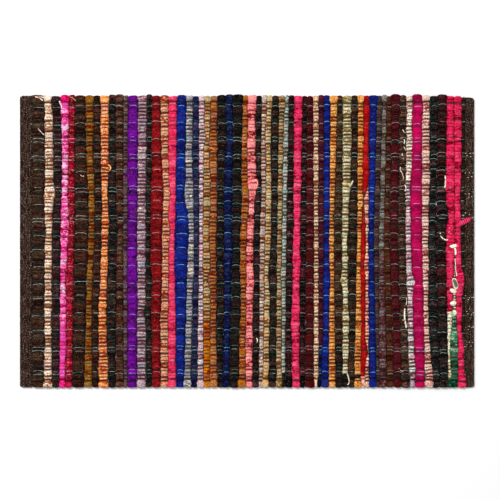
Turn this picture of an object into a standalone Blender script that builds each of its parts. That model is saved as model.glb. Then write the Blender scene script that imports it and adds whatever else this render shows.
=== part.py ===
"""Handwoven rag rug, lying flat.

The rug is one woven cloth. Thick strips of torn cloth run along Y, side by side along X,
and each one is a rib on both faces. A finer, thinner heading closes each short end.
Metres, +Z up, +X along the rug's length, origin at the middle of the underside.
"""
import math
from collections import namedtuple

import bmesh
import bpy
from mathutils import Matrix, Vector

# Driving dimensions, in metres
RUG_LENGTH = 0.900            # along X, across the strips
RUG_WIDTH = 0.580             # along Y, along the strips
STATION_Y = 0.262             # the strip widths are given at +STATION_Y, 0 and -STATION_Y

# Heights above the floor
RIB_TOP_BASE = 0.0058         # crown of a rib of no width
RIB_TOP_PER_WIDTH = 0.22      # a wider strip is a fatter one, so it stands higher
RIB_TOP_RANGE = (0.0080, 0.0096)
VALLEY_TOP = 0.0056           # bottom of the furrow between two ribs, upper face
VALLEY_BOTTOM = 0.0022        # top of the furrow on the underside
HEADING_TOP = 0.0054
HEADING_VALLEY_TOP = 0.0040

# Shape of a rib along and across its strip
SHOULDER_DROP = 0.0007        # the shoulders lie this far under the crown
RIB_PARTS = (0.0, 0.26, 0.5, 0.74)        # furrow, shoulder, crown, shoulder, as parts of the width
HEADING_PARTS = (0.0, 0.08, 0.5, 0.92)    # the heading is flat nearly to its edges
RIM_TOP = 0.56                # height of the rim's upper edge, as part of the height beside it
RIM_BOTTOM = 0.0016           # height of the rim's lower edge

# Long edges: each strip turns over in a rounded loop that sticks out past its furrows
LOOP_NOTCH = 0.0022           # how far the furrows stay back from the loops
LOOP_SHOULDER_NOTCH = 0.0006
LOOP_ROUND = 0.0035           # length over which the loop rounds up to full height
EDGE_GROOVE_AT = 0.0140       # the outermost warps press a groove in the strips here
EDGE_GROOVE_WIDTH = 0.0090
EDGE_GROOVE_DEPTH = 0.0012
INNER_ROWS = (-0.140, 0.0, 0.140)

# The weaving drew in at the corner at +X, +Y; the outer corners are a little round
DRAWN_CORNER_LENGTH = 0.065
DRAWN_CORNER_DEPTH = 0.0040
CORNER_NOTCH = 0.0040

# The pink strip's loose end, lying on the heading
TAIL_START = Vector((0.4200, 0.0335))
TAIL_END = Vector((0.4425, 0.0440))
TAIL_WIDTH = 0.0090
TAIL_BOTTOM = 0.0030
TAIL_TOP = 0.0086
TAIL_SIDES = 10

Strip = namedtuple("Strip", "cloth back middle front")

# A row for each strip from -X to +X: its cloth, and its width in millimetres at the
# back edge (+Y), in the middle and at the front edge (-Y).
STRIPS = (
    Strip("heading", 23.5, 23.5, 23.5),
    Strip("brown ground", 23.5, 25.5, 23.5),
    Strip("cream", 17.0, 15.0, 17.0),
    Strip("black green", 17.0, 16.0, 14.0),
    Strip("pink", 16.5, 14.5, 11.5),
    Strip("crimson", 14.0, 15.0, 17.0),
    Strip("dark brown", 19.0, 25.5, 21.0),
    Strip("ochre", 15.5, 14.0, 15.5),
    Strip("black", 14.0, 12.0, 13.0),
    Strip("orange", 17.0, 16.0, 21.0),
    Strip("black", 13.5, 15.5, 13.5),
    Strip("red brown", 13.0, 10.0, 12.0),
    Strip("olive brown", 10.0, 10.0, 10.0),
    Strip("purple", 20.5, 19.5, 19.5),
    Strip("mauve", 18.0, 17.0, 18.0),
    Strip("black", 10.0, 9.0, 12.0),
    Strip("red", 17.0, 23.5, 17.0),
    Strip("tan", 15.5, 14.0, 14.5),
    Strip("coral", 17.0, 12.0, 16.0),
    Strip("blue", 16.5, 25.5, 16.0),
    Strip("sage grey", 15.0, 12.0, 13.5),
    Strip("dark navy", 12.0, 10.0, 13.0),
    Strip("lilac white", 12.0, 10.0, 13.0),
    Strip("olive tan", 12.5, 13.5, 12.5),
    Strip("rust", 12.0, 12.0, 14.0),
    Strip("black", 16.0, 13.0, 11.0),
    Strip("navy", 15.0, 16.0, 13.0),
    Strip("dark brown", 19.5, 16.5, 18.5),
    Strip("amber", 10.0, 13.0, 14.0),
    Strip("salmon", 18.0, 14.0, 13.0),
    Strip("maroon black", 9.5, 12.5, 13.0),
    Strip("mauve pink", 11.5, 10.0, 8.5),
    Strip("gold tan", 10.5, 12.0, 11.0),
    Strip("black", 12.0, 12.0, 14.0),
    Strip("tan", 10.0, 10.0, 11.0),
    Strip("pale teal", 9.5, 8.5, 7.5),
    Strip("black", 11.0, 13.0, 13.0),
    Strip("hot pink", 16.0, 14.0, 15.0),
    Strip("black", 10.0, 12.0, 11.0),
    Strip("maroon", 11.5, 15.5, 17.5),
    Strip("cream tan", 11.0, 9.0, 10.0),
    Strip("maroon", 10.0, 11.0, 5.0),
    Strip("blue", 13.0, 10.0, 15.0),
    Strip("yellow orange", 13.5, 9.5, 13.5),
    Strip("dark brown", 11.0, 16.0, 14.0),
    Strip("sage cream", 17.0, 12.0, 11.0),
    Strip("black", 13.0, 18.0, 13.0),
    Strip("yellow orange", 11.5, 9.5, 12.5),
    Strip("bright red", 12.0, 13.0, 16.0),
    Strip("blue", 14.0, 13.0, 17.0),
    Strip("olive brown", 11.0, 9.0, 4.0),
    Strip("grey teal", 8.5, 10.5, 15.5),
    Strip("brown", 10.0, 14.0, 16.0),
    Strip("maroon", 16.0, 12.0, 12.0),
    Strip("olive black", 13.0, 15.0, 14.5),
    Strip("white", 10.5, 10.5, 11.0),
    Strip("magenta", 19.5, 22.0, 20.0),
    Strip("peach print", 16.5, 13.0, 15.5),
    Strip("black green", 15.5, 13.5, 14.0),
    Strip("maroon black", 17.5, 21.0, 17.0),
    Strip("rose", 14.5, 18.0, 18.5),
    Strip("rose", 15.5, 11.5, 12.0),
    Strip("heading", 24.5, 26.5, 20.5),
)



def clamp(value, low, high):
    """Keep a value between two limits."""
    return max(low, min(high, value))


def strip_width(strip, y):
    """Width of a strip in metres at y, before the row is scaled to the rug's length."""
    along = clamp(y / STATION_Y, -1.0, 1.0)
    end = strip.back if along > 0 else strip.front
    return (strip.middle + (end - strip.middle) * abs(along)) / 1000


def furrow_positions(y):
    """X of every furrow at y, from the left rim to the right rim."""
    widths = [strip_width(strip, y) for strip in STRIPS]
    scale = RUG_LENGTH / sum(widths)
    positions = [-RUG_LENGTH / 2]
    for width in widths:
        positions.append(positions[-1] + width * scale)
    return positions


def crown_height(strip, width):
    """Height of a strip's crown above the floor."""
    if strip.cloth == "heading":
        return HEADING_TOP
    return clamp(RIB_TOP_BASE + RIB_TOP_PER_WIDTH * width, *RIB_TOP_RANGE)


def furrow_height(index):
    """Height of the furrow at the left of a strip, on the upper face."""
    beside = {STRIPS[index - 1].cloth, STRIPS[index].cloth}
    return HEADING_VALLEY_TOP if "heading" in beside else VALLEY_TOP


def section(y):
    """Points (x, top, bottom, notch) of the cross-section at y, from rim to rim."""
    furrows = furrow_positions(y)
    points = []
    for index, strip in enumerate(STRIPS):
        left = furrows[index]
        width = furrows[index + 1] - left
        crown = crown_height(strip, width)
        heading = strip.cloth == "heading"
        shoulder = crown if heading else crown - SHOULDER_DROP
        tops = (furrow_height(index), shoulder, crown, shoulder)
        bottoms = (VALLEY_BOTTOM, 0.0, 0.0, 0.0)
        notches = (LOOP_NOTCH, LOOP_SHOULDER_NOTCH, 0.0, LOOP_SHOULDER_NOTCH)
        parts = HEADING_PARTS if heading else RIB_PARTS
        for part, top, bottom, notch in zip(parts, tops, bottoms, notches):
            points.append([left + part * width, top, bottom, notch])
    rim = HEADING_TOP * RIM_TOP
    points[0] = [-RUG_LENGTH / 2, rim, RIM_BOTTOM, CORNER_NOTCH]
    points.append([RUG_LENGTH / 2, rim, RIM_BOTTOM, CORNER_NOTCH])
    return points


def drawn_in(x):
    """How far the back edge lies inside its line at x, where the corner is drawn in."""
    along = clamp((x - (RUG_LENGTH / 2 - DRAWN_CORNER_LENGTH)) / DRAWN_CORNER_LENGTH, 0.0, 1.0)
    return DRAWN_CORNER_DEPTH * along * along * (3 - 2 * along)


def rows():
    """The rows of points along Y: side, distance and groove depth.

    Side is -1 or 1 for a row near an edge, which lies at the distance in from that edge,
    and 0 for an inner row, which lies at the distance from the rug's middle.
    """
    edge = (
        (0.0, 0.0),
        (LOOP_ROUND, 0.0),
        (EDGE_GROOVE_AT, EDGE_GROOVE_DEPTH),
        (EDGE_GROOVE_AT + EDGE_GROOVE_WIDTH, 0.0),
    )
    front = [(-1, inset, groove) for inset, groove in edge]
    inner = [(0, y, 0.0) for y in INNER_ROWS]
    back = [(1, inset, groove) for inset, groove in reversed(edge)]
    return front + inner + back


def build_rug():
    """The rug as one closed mesh: an upper and a lower sheet, joined by a low rim wall."""
    mesh = bmesh.new()
    upper, lower = [], []
    for side, distance, groove in rows():
        y = side * (RUG_WIDTH / 2 - distance) if side else distance
        top_row, bottom_row = [], []
        for x, top, bottom, notch in section(y):
            place = y
            if side:
                keep = math.exp(-distance / LOOP_ROUND)      # notches fade away from the edge
                place -= side * notch * keep
                place -= drawn_in(x) * keep if side > 0 else 0.0
            on_rim = side and distance == 0.0
            on_rib = top > VALLEY_TOP
            height = top * RIM_TOP if on_rim else top - (groove if on_rib else 0.0)
            underside = max(bottom, RIM_BOTTOM) if on_rim else bottom
            top_row.append(mesh.verts.new((x, place, height)))
            bottom_row.append(mesh.verts.new((x, place, underside)))
        upper.append(top_row)
        lower.append(bottom_row)
    columns = len(upper[0])
    for low, high in zip(range(len(upper) - 1), range(1, len(upper))):
        for left, right in zip(range(columns - 1), range(1, columns)):
            mesh.faces.new((upper[low][left], upper[low][right], upper[high][right], upper[high][left]))
            mesh.faces.new((lower[low][left], lower[high][left], lower[high][right], lower[low][right]))
        for edge, flip in ((0, False), (columns - 1, True)):
            wall = (lower[low][edge], upper[low][edge], upper[high][edge], lower[high][edge])
            mesh.faces.new(reversed(wall) if flip else wall)
    for edge, flip in ((0, True), (len(upper) - 1, False)):
        for left, right in zip(range(columns - 1), range(1, columns)):
            wall = (lower[edge][left], upper[edge][left], upper[edge][right], lower[edge][right])
            mesh.faces.new(reversed(wall) if flip else wall)
    bmesh.ops.recalc_face_normals(mesh, faces=mesh.faces)
    bmesh.ops.triangulate(mesh, faces=mesh.faces)
    data = bpy.data.meshes.new("rug")
    mesh.to_mesh(data)
    mesh.free()
    return data


def build_tail():
    """The loose end: a flattened bar of cloth with a rounded section, lying along its line."""
    along = TAIL_END - TAIL_START
    middle = (TAIL_START + TAIL_END) / 2
    mesh = bmesh.new()
    bmesh.ops.create_cone(mesh, cap_ends=True, segments=TAIL_SIDES, radius1=0.5, radius2=0.5, depth=1.0)
    size = Matrix.Diagonal((TAIL_TOP - TAIL_BOTTOM, TAIL_WIDTH, along.length, 1.0))
    lay_down = Matrix.Rotation(math.radians(90), 4, "Y")
    turn = Matrix.Rotation(math.atan2(along.y, along.x), 4, "Z")
    place = Matrix.Translation((middle.x, middle.y, (TAIL_TOP + TAIL_BOTTOM) / 2))
    mesh.transform(place @ turn @ lay_down @ size)
    data = bpy.data.meshes.new("tail")
    mesh.to_mesh(data)
    mesh.free()
    return data


def cloth_material():
    """The rags' mean colour: a warm dark brown, dull like worn cotton."""
    material = bpy.data.materials.new("woven cotton rags")
    material.use_nodes = True
    shader = material.node_tree.nodes["Principled BSDF"]
    shader.inputs["Base Color"].default_value = (0.115, 0.052, 0.040, 1.0)
    shader.inputs["Roughness"].default_value = 0.9
    shader.inputs["Metallic"].default_value = 0.0
    return material


def add_object(name, data):
    """Link a mesh into the scene as an object."""
    item = bpy.data.objects.new(name, data)
    bpy.context.scene.collection.objects.link(item)
    return item


def main():
    """Build the rug and weld the loose end onto it."""
    for item in list(bpy.data.objects):
        bpy.data.objects.remove(item, do_unlink=True)
    rug = add_object("rug", build_rug())
    rug.data.materials.append(cloth_material())
    tail = add_object("tail", build_tail())
    tail.display_type = "WIRE"
    tail.hide_render = True
    join = rug.modifiers.new("loose end", "BOOLEAN")
    join.operation = "UNION"
    join.object = tail


main()
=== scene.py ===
"""Woven rag rug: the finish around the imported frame.

Strips of torn cloth run along Y, each pressed into beads by the cotton warps that pass over
and under it along X. A fine brown heading closes each short end. Lengths are in metres
unless a name says mm.
"""
import math
from collections import namedtuple

import bpy
import numpy as np
from bpy.props import FloatProperty, FloatVectorProperty, IntProperty, PointerProperty
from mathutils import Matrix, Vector


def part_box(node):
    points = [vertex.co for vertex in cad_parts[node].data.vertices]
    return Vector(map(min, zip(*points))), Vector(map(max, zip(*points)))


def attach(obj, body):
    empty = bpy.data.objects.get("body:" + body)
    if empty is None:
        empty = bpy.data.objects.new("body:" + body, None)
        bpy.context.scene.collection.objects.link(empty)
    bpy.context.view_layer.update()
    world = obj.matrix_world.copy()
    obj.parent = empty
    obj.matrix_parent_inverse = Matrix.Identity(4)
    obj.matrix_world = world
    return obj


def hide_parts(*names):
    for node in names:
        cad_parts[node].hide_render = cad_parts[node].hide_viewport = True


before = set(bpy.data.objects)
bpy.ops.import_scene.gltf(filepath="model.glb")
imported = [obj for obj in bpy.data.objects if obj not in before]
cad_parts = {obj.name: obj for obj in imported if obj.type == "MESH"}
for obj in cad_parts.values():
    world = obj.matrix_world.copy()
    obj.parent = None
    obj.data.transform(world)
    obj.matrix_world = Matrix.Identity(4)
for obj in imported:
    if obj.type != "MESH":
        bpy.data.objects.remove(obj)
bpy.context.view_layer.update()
RUG_LOW, RUG_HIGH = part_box("rug")
RUG_LENGTH, RUG_WIDTH = (RUG_HIGH[axis] - RUG_LOW[axis] for axis in (0, 1))

bl_info = {
    "name": "Woven rag rug",
    "version": (1, 0, 0),
    "blender": (4, 5, 0),
    "location": "3D View > Sidebar > Rag rug",
    "description": "Weaves a rag rug from cloth strips and cotton warps inside its packed solid",
    "category": "Object",
}

MM = 0.001


def linear(code):
    """An sRGB hex colour as linear red, green, blue and alpha."""
    parts = (int(code[i:i + 2], 16) / 255 for i in (1, 3, 5))
    return tuple(p / 12.92 if p <= 0.04045 else ((p + 0.055) / 1.055) ** 2.4 for p in parts) + (1.0,)


# ---------------------------------------------------------------- the weaver's chart

# The strips from -X to +X: the cloth, and the width in millimetres at the back edge (+Y), in
# the middle and at the front edge (-Y). One that is 0 wide at a station starts on the way there.
STRIPS = (
    ("brown ground", 24.5, 26.0, 24.5), ("cream", 16.5, 15.0, 16.0), ("black green", 17.0, 16.5, 15.0),
    ("bright pink", 16.0, 13.5, 11.0), ("crimson", 12.0, 13.0, 14.0), ("umber", 21.0, 27.5, 24.0),
    ("ochre", 15.5, 14.0, 15.5), ("umber", 14.0, 12.0, 13.0), ("orange", 17.0, 14.5, 19.0),
    ("black", 13.0, 16.0, 15.0), ("red brown", 15.5, 13.0, 15.5), ("plum grey", 9.5, 8.5, 7.5),
    ("purple", 19.0, 19.0, 19.0), ("mauve", 18.0, 17.0, 18.0), ("black", 10.0, 9.0, 12.0),
    ("red", 17.0, 23.5, 17.0), ("tan", 15.5, 14.0, 14.5), ("coral", 17.0, 12.0, 16.0),
    ("blue", 16.5, 25.5, 16.0), ("sage grey", 15.0, 12.0, 13.5), ("dark navy", 12.0, 10.0, 13.0),
    ("lilac white", 11.0, 7.5, 12.0), ("olive tan", 13.0, 14.5, 13.0), ("rust", 12.5, 13.0, 14.5),
    ("black", 16.0, 13.0, 11.0), ("navy", 15.0, 16.0, 13.0), ("coal brown", 19.5, 16.5, 18.5),
    ("amber", 10.0, 13.0, 14.0), ("salmon", 18.0, 14.0, 13.0), ("maroon black", 9.5, 12.5, 13.0),
    ("mauve pink", 11.5, 10.0, 8.5), ("gold tan", 10.5, 12.0, 11.0), ("bottle black", 12.0, 12.0, 14.0),
    ("khaki tan", 10.0, 10.0, 11.0), ("pale teal", 9.5, 8.5, 7.5), ("wine brown", 11.0, 13.0, 13.0),
    ("hot pink", 16.0, 14.0, 15.0), ("oxblood", 10.0, 12.0, 11.0), ("maroon", 11.5, 15.5, 17.5),
    ("cream tan", 11.0, 9.0, 10.0), ("plum", 10.0, 11.0, 5.0), ("blue", 13.0, 10.0, 15.0),
    ("yellow orange", 13.5, 9.5, 13.5), ("khaki brown", 11.0, 16.0, 14.0), ("sage cream", 17.0, 12.0, 11.0),
    ("bronze brown", 13.0, 18.0, 13.0), ("yellow orange", 11.5, 9.5, 12.5), ("bright red", 12.0, 7.0, 8.0),
    ("peach", 0.0, 6.0, 8.0), ("blue", 14.0, 10.0, 14.5), ("olive mix", 11.0, 10.5, 5.5),
    ("grey teal", 8.5, 10.0, 15.0), ("brown", 10.0, 11.5, 14.0), ("wine", 16.0, 16.0, 15.5),
    ("olive black", 13.0, 15.0, 14.5), ("white", 11.5, 11.0, 12.0), ("magenta", 19.0, 21.5, 19.5),
    ("peach print", 16.5, 13.0, 15.5), ("slate black", 15.5, 13.5, 14.0), ("garnet", 17.5, 21.0, 17.0),
    ("rose", 14.5, 18.0, 4.0), ("ivory", 0.0, 0.0, 15.0), ("rose", 15.5, 11.5, 12.0),
    ("bottle black", 7.0, 8.0, 3.5),
)
HEADING_WIDTHS_MM = ((23.5, 23.5, 23.5), (17.5, 18.5, 17.0))      # at -X and at +X
STATION_Y = 0.262             # the widths above are given at +STATION_Y, 0 and -STATION_Y

# Where a strip runs out and the weaver goes on with another cloth. For each such strip, by its
# number in the chart from 0: the Y in millimetres below which the new cloth lies, and the cloth.
SPLICES = {
    3: ((262, "pink"), (-166, "bright pink")), 22: ((-152, "burnt orange"),), 34: ((-261, "bottle black"),),
    40: ((-205, "navy"),), 43: ((-205, "coal brown"),), 44: ((-263, "coal brown"),),
    46: ((-264, "coal brown"), (-272, "yellow orange")), 47: ((-268, "peach"),), 51: ((-30, "plum brown"),),
    55: ((118, "lilac white"), (-205, "mint white"), (-262, "mauve")),
    59: ((122, "maroon black"), (-37, "garnet"), (-117, "maroon black"), (-205, "slate black")),
    60: ((-138, "ivory"), (-270, "bottle green")),
    61: ((-70, "green print"), (-86, "ivory"), (-146, "green print"), (-219, "bottle green")),
}
SPLICE_LAP = 0.003            # how far the two cloths of a splice run past it

# Where the furrow on the -X side of a strip wanders: for each strip, the middle and the length
# of the stretch, and how far towards +X, in millimetres.
SHIFTS = {
    1: ((190, 130, 1.2), (18, 30, 2.0), (-203, 50, 1.6), (254, 40, 1.5), (84, 24, -2.0)),
    2: ((180, 160, 2.3), (92, 44, 5.0), (-130, 200, -1.4), (135, 50, 1.4), (275, 40, -2.5), (-118, 30, 1.6)),
    3: ((155, 170, 2.5),), 4: ((-75, 60, -3.0), (-203, 30, 1.8), (32, 60, 2.5)), 6: ((70, 110, 2.7),),
    7: ((178, 60, -2.4), (-115, 190, -3.6)), 8: ((80, 70, 2.0), (-150, 120, -2.8)),
    9: ((97, 36, -2.6), (-140, 170, -3.5), (36, 30, 1.5)), 10: ((25, 50, 2.4),), 13: ((-118, 30, 2.0),),
    14: ((-140, 26, -3.4),), 15: ((145, 40, 2.0), (-80, 50, 3.4)),
    16: ((105, 110, 3.3), (-178, 90, -1.5), (-150, 30, -1.6)), 17: ((97, 40, 3.0), (18, 30, 2.0)),
    18: ((-30, 110, -1.4),), 19: ((270, 40, 2.6), (97, 60, -4.8), (160, 50, -2.2), (90, 30, -1.5)),
    20: ((175, 80, -2.4), (-61, 30, 2.0)), 22: ((208, 24, 3.5),),
    23: ((190, 110, -3.0), (18, 60, -3.0), (-77, 24, -5.0)), 24: ((-15, 80, -1.8), (-180, 120, -2.0)),
    25: ((208, 80, 3.2), (-110, 130, 2.6)), 26: ((-20, 50, 3.4),), 27: ((80, 80, 2.0), (-120, 100, 2.8)),
    28: ((75, 90, 4.0), (-207, 40, -2.0)),
    29: ((240, 90, -2.4), (105, 50, 2.4), (-81, 36, 2.0), (137, 30, 2.0), (-205, 30, 1.5)),
    30: ((97, 60, 2.5),), 31: ((215, 110, -3.2),), 32: ((208, 150, -3.0), (-60, 60, -3.8)),
    33: ((-259, 24, 1.5),), 34: ((270, 36, 3.0), (-65, 50, -2.0), (-275, 26, 1.6)),
    36: ((35, 40, 1.8), (-155, 60, -2.0), (-277, 30, 1.5)),
    37: ((-45, 24, 2.2), (-277, 30, 1.5), (117, 30, 2.0)), 39: ((-284, 24, 2.0),), 40: ((-284, 24, -3.0),),
    41: ((-170, 100, 2.6),), 42: ((-75, 70, 2.0),), 43: ((50, 24, -2.8),),
    44: ((-77, 26, -4.0), (-108, 30, 1.6)),
    45: ((113, 26, 2.4), (-155, 50, 2.4), (165, 140, 2.4), (-200, 40, 1.8), (-4, 40, -1.8), (204, 26, 1.4)),
    46: ((-221, 40, -1.5),), 47: ((82, 20, 3.0), (-40, 140, -2.2), (204, 30, 1.8)),
    48: ((130, 60, 3.0), (66, 70, -3.2), (84, 34, -3.0), (-218, 30, 5.0), (-47, 34, -2.5)),
    55: ((-278, 36, 2.5), (-116, 24, 2.0), (254, 30, 1.5)),
    56: ((90, 90, -2.0), (-77, 24, 4.0), (-249, 30, 1.6), (275, 30, 1.4), (204, 30, 1.4)),
    57: ((262, 40, 1.8),), 58: ((-155, 160, -4.6), (130, 80, 2.0)), 60: ((113, 24, -3.4), (50, 34, 5.5)),
    61: ((-212, 70, -2.2), (-262, 40, 2.5)), 62: ((-215, 90, 1.8),),
    63: ((90, 80, -1.4), (-80, 40, 4.5), (-170, 60, -2.0), (-223, 50, 1.8), (-69, 30, 1.6)),
}

# Where a strip swells over its neighbours: the middle and the length of the stretch, and how
# far to the left and to the right, in millimetres.
BULGES = {
    1: ((287, 12, 1.5, 1.5), (-284, 14, 2.0, 1.5)), 3: ((-284, 14, 1.5, 1.0),),
    8: ((147, 12, 0.0, 3.5), (-284, 16, 0.5, 1.0), (-245, 30, 2.0, 3.0)),
    12: ((131, 16, 3.0, 0.0), (215, 22, 1.5, 1.5)), 14: ((286, 10, 1.5, 1.5),), 17: ((-284, 16, 1.5, 0.8),),
    18: ((22, 60, 0.0, 3.0),), 19: ((-282, 18, 1.5, 0.8),), 21: ((-274, 30, 0.8, 0.8),),
    25: ((-280, 24, 2.4, 0.5),), 27: ((-280, 24, 2.6, 0.0),), 28: ((114, 17, 0.0, 4.6),),
    31: ((-276, 24, 2.0, 0.0),), 33: ((-278, 20, 0.0, 2.0),), 42: ((284, 16, 2.5, 2.5),),
    46: ((284, 14, 1.0, 1.0), (-284, 12, 2.0, 1.0)), 49: ((284, 14, 3.0, 3.0),), 51: ((284, 12, 1.5, 1.5),),
    53: ((284, 14, 1.5, 1.5),),
    55: ((105, 20, 2.0, 0.0), (99, 26, 2.5, 0.0), (172, 50, 0.0, 3.4), (-91, 24, 0.0, 4.2)),
    57: ((-282, 16, 1.0, 2.0), (-267, 24, 0.0, 3.2)), 59: ((286, 10, 1.5, 1.5),),
    61: ((-84, 20, 2.0, 2.5), (-280, 16, 2.5, 1.0)),
    62: ((-275, 20, 0.0, 5.0), (-284, 10, 1.5, 2.5), (-228, 12, 2.5, 0.0)),
}

# The strips whose turned end stands out past the back edge, and how far in millimetres.
PROUD_ENDS = {4: 0.3, 9: 0.5, 10: 1.0, 14: 1.2, 25: 1.0, 26: 1.0, 53: 1.2, 56: 1.2, 59: 0.8}

# The warps in teal yarn: the Y of each group in millimetres, and how many lie side by side.
TEAL_WARPS = {
    268: 2, 233: 2, 200: 3, 168: 4, 139: 2, 104: 4, 76: 2, 45: 4, 12: 2, -17: 2, -49: 2, -81: 2, -111: 2,
    -144: 2, -176: 2, -212: 4, -258: 3,
}
# The vivid cloths dye them where they cross: the lighter tone they have there.
BRIGHT_TINTS = {"magenta": "#c68cd4", "purple": "#b184e6", "blue": "#6ea6e4", "navy": "#6c9cc8"}

Loose = namedtuple("Loose", "cloth wide_mm low_mm route")

# Ends, curls and stray threads that lie loose on the weave: the cloth, the width, the height
# of its underside, and the route in X and Y, all in millimetres.
LOOSE_ENDS = [Loose(*row) for row in (
    ("white", 2.6, 7.6, ((392, 130), (392.8, 118), (391.6, 105))),
    ("white", 2.6, 8.0, ((382, 17), (383, 10), (388, 4.5), (395, 2), (398, 4))),
    ("sage cream", 3.4, 7.0, ((203, 107), (207, 113), (209.5, 120))),
    ("cream", 1.8, 7.6, ((304, 147), (303, 141), (306, 136), (309, 133))),
    ("cream", 2.0, 7.4, ((307, 133), (310, 127), (309, 122))),
    ("cream", 1.6, 7.6, ((307, 174), (308, 165), (312, 160))),
    ("white", 1.8, 7.4, ((309, 206), (312, 199), (311, 192))),
    ("white", 1.4, 7.8, ((308, 221), (311, 215), (314, 214))),
    ("white", 1.3, 7.8, ((308, 189), (312, 185), (314, 179))),
    ("white", 2.2, 7.4, ((312, 112), (315, 106), (313, 99))),
    ("white", 1.2, 7.6, ((315, -111), (316, -120), (314.5, -127))),
    ("white", 3.2, 7.4, ((312.5, -133), (311.5, -142), (312, -154), (315.5, -172))),
    ("white", 1.8, 7.8, ((307.5, -155), (311, -157), (315, -156))),
    ("black", 4.4, 6.4, ((-219.5, 64), (-219, 58), (-219.5, 51))),
    ("orange", 2.6, 8.4, ((-275, 152), (-270, 148), (-269, 143), (-273, 140))),
    ("salmon", 2.4, 8.0, ((15, 122), (20, 119), (21.5, 113), (18, 107))),
    ("cream", 1.7, 8.6, ((-413, 223), (-408, 217), (-401, 210))),
    ("cream", 3.0, 7.8, ((-419, 286), (-411, 283.5), (-403, 278))),
    ("cream", 2.4, 7.6, ((-415, 287), (-408, 286), (-400, 283))),
    ("pink", 4.0, 6.6, ((-371, 278), (-369, 273), (-367, 268))),
    ("white", 3.0, 7.0, ((-368.5, 272), (-366.5, 267), (-366, 261))),
    ("white", 2.0, 7.8, ((19, -191), (21, -196), (20, -201))),
    ("cream", 1.4, 8.2, ((-330, 132), (-326, 128), (-322, 129))),
    ("cream", 1.6, 7.4, ((300, -251), (304, -256), (309, -258))),
    ("white", 1.6, 7.6, ((399, 33), (401, 24), (399, 14))),
    ("tan", 1.4, 8.4, ((-351, 286), (-344, 283), (-338, 277))),
    ("olive black", 1.6, 7.8, ((285, 165), (289, 159), (288, 152))),
    ("ivory", 8.0, 4.4, ((401, -12), (408, -10), (416, -8.5))),
    ("ivory", 4.0, 6.6, ((411, -13), (413, -20), (412.5, -28))),
    ("white", 1.7, 7.8, ((411.5, -34), (412.5, -45), (413, -56), (415, -69))),
    ("ivory", 11.0, 2.4, ((409, -73), (412, -83), (415, -95))),
    ("bottle green", 7.6, 5.6, ((409, -75), (412, -83), (414.5, -92))),
    ("ivory", 9.0, 4.2, ((402, -95.5), (409, -99), (415, -99.5))),
    ("ivory", 11.0, 4.4, ((402, -124), (408, -123), (414, -121))),
    ("sage cream", 2.6, 6.4, ((198, -261), (201, -270), (203, -279), (199, -285))),
)]
LOOSE_STEP_MM = 1.2           # between the guide points of a loose end
LOOSE_THICKNESS = 0.7         # of a loose end, as a share of its width

# Pale knots where the warps end in the last heading. They come in groups: the Y of each group,
# where the knots of one lie, how far they stray from there, and the shape of one, in millimetres.
KNOT_CLOTH = "white"
KNOT_GROUPS = (170, 130, 90, 48, -113, -142, -172, -205)
KNOTS_AT = ((428, 0), (432, 4.5), (436, -2), (440, 3), (444, -1.5), (447, 4))
KNOT_STRAY = (1.4, 2.2)
KNOT_ROUTE = ((0, 0), (1.1, 0.4), (2.1, 0.2))
KNOT_WIDE, KNOT_LOW, KNOT_HIGH, KNOT_STEP = 1.2, 5.6, 1.0, 0.6

# The thick, ribbed end of the last strip, lying on the heading.
TAIL = Loose("rose", 11.5, 5.4, ((416, 31), (424, 35.5), (432, 39.5), (439, 43), (443, 45.5)))
TAIL_HIGH_MM, TAIL_RIB_MM = 5.4, 4.0

# ---------------------------------------------------------------- cloths and yarns

Cloth = namedtuple(
    "Cloth", "deep body light turn turn_mm fleck fleck_share rough accent", defaults=("", 0.0, 1.0, ""),
)

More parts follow.
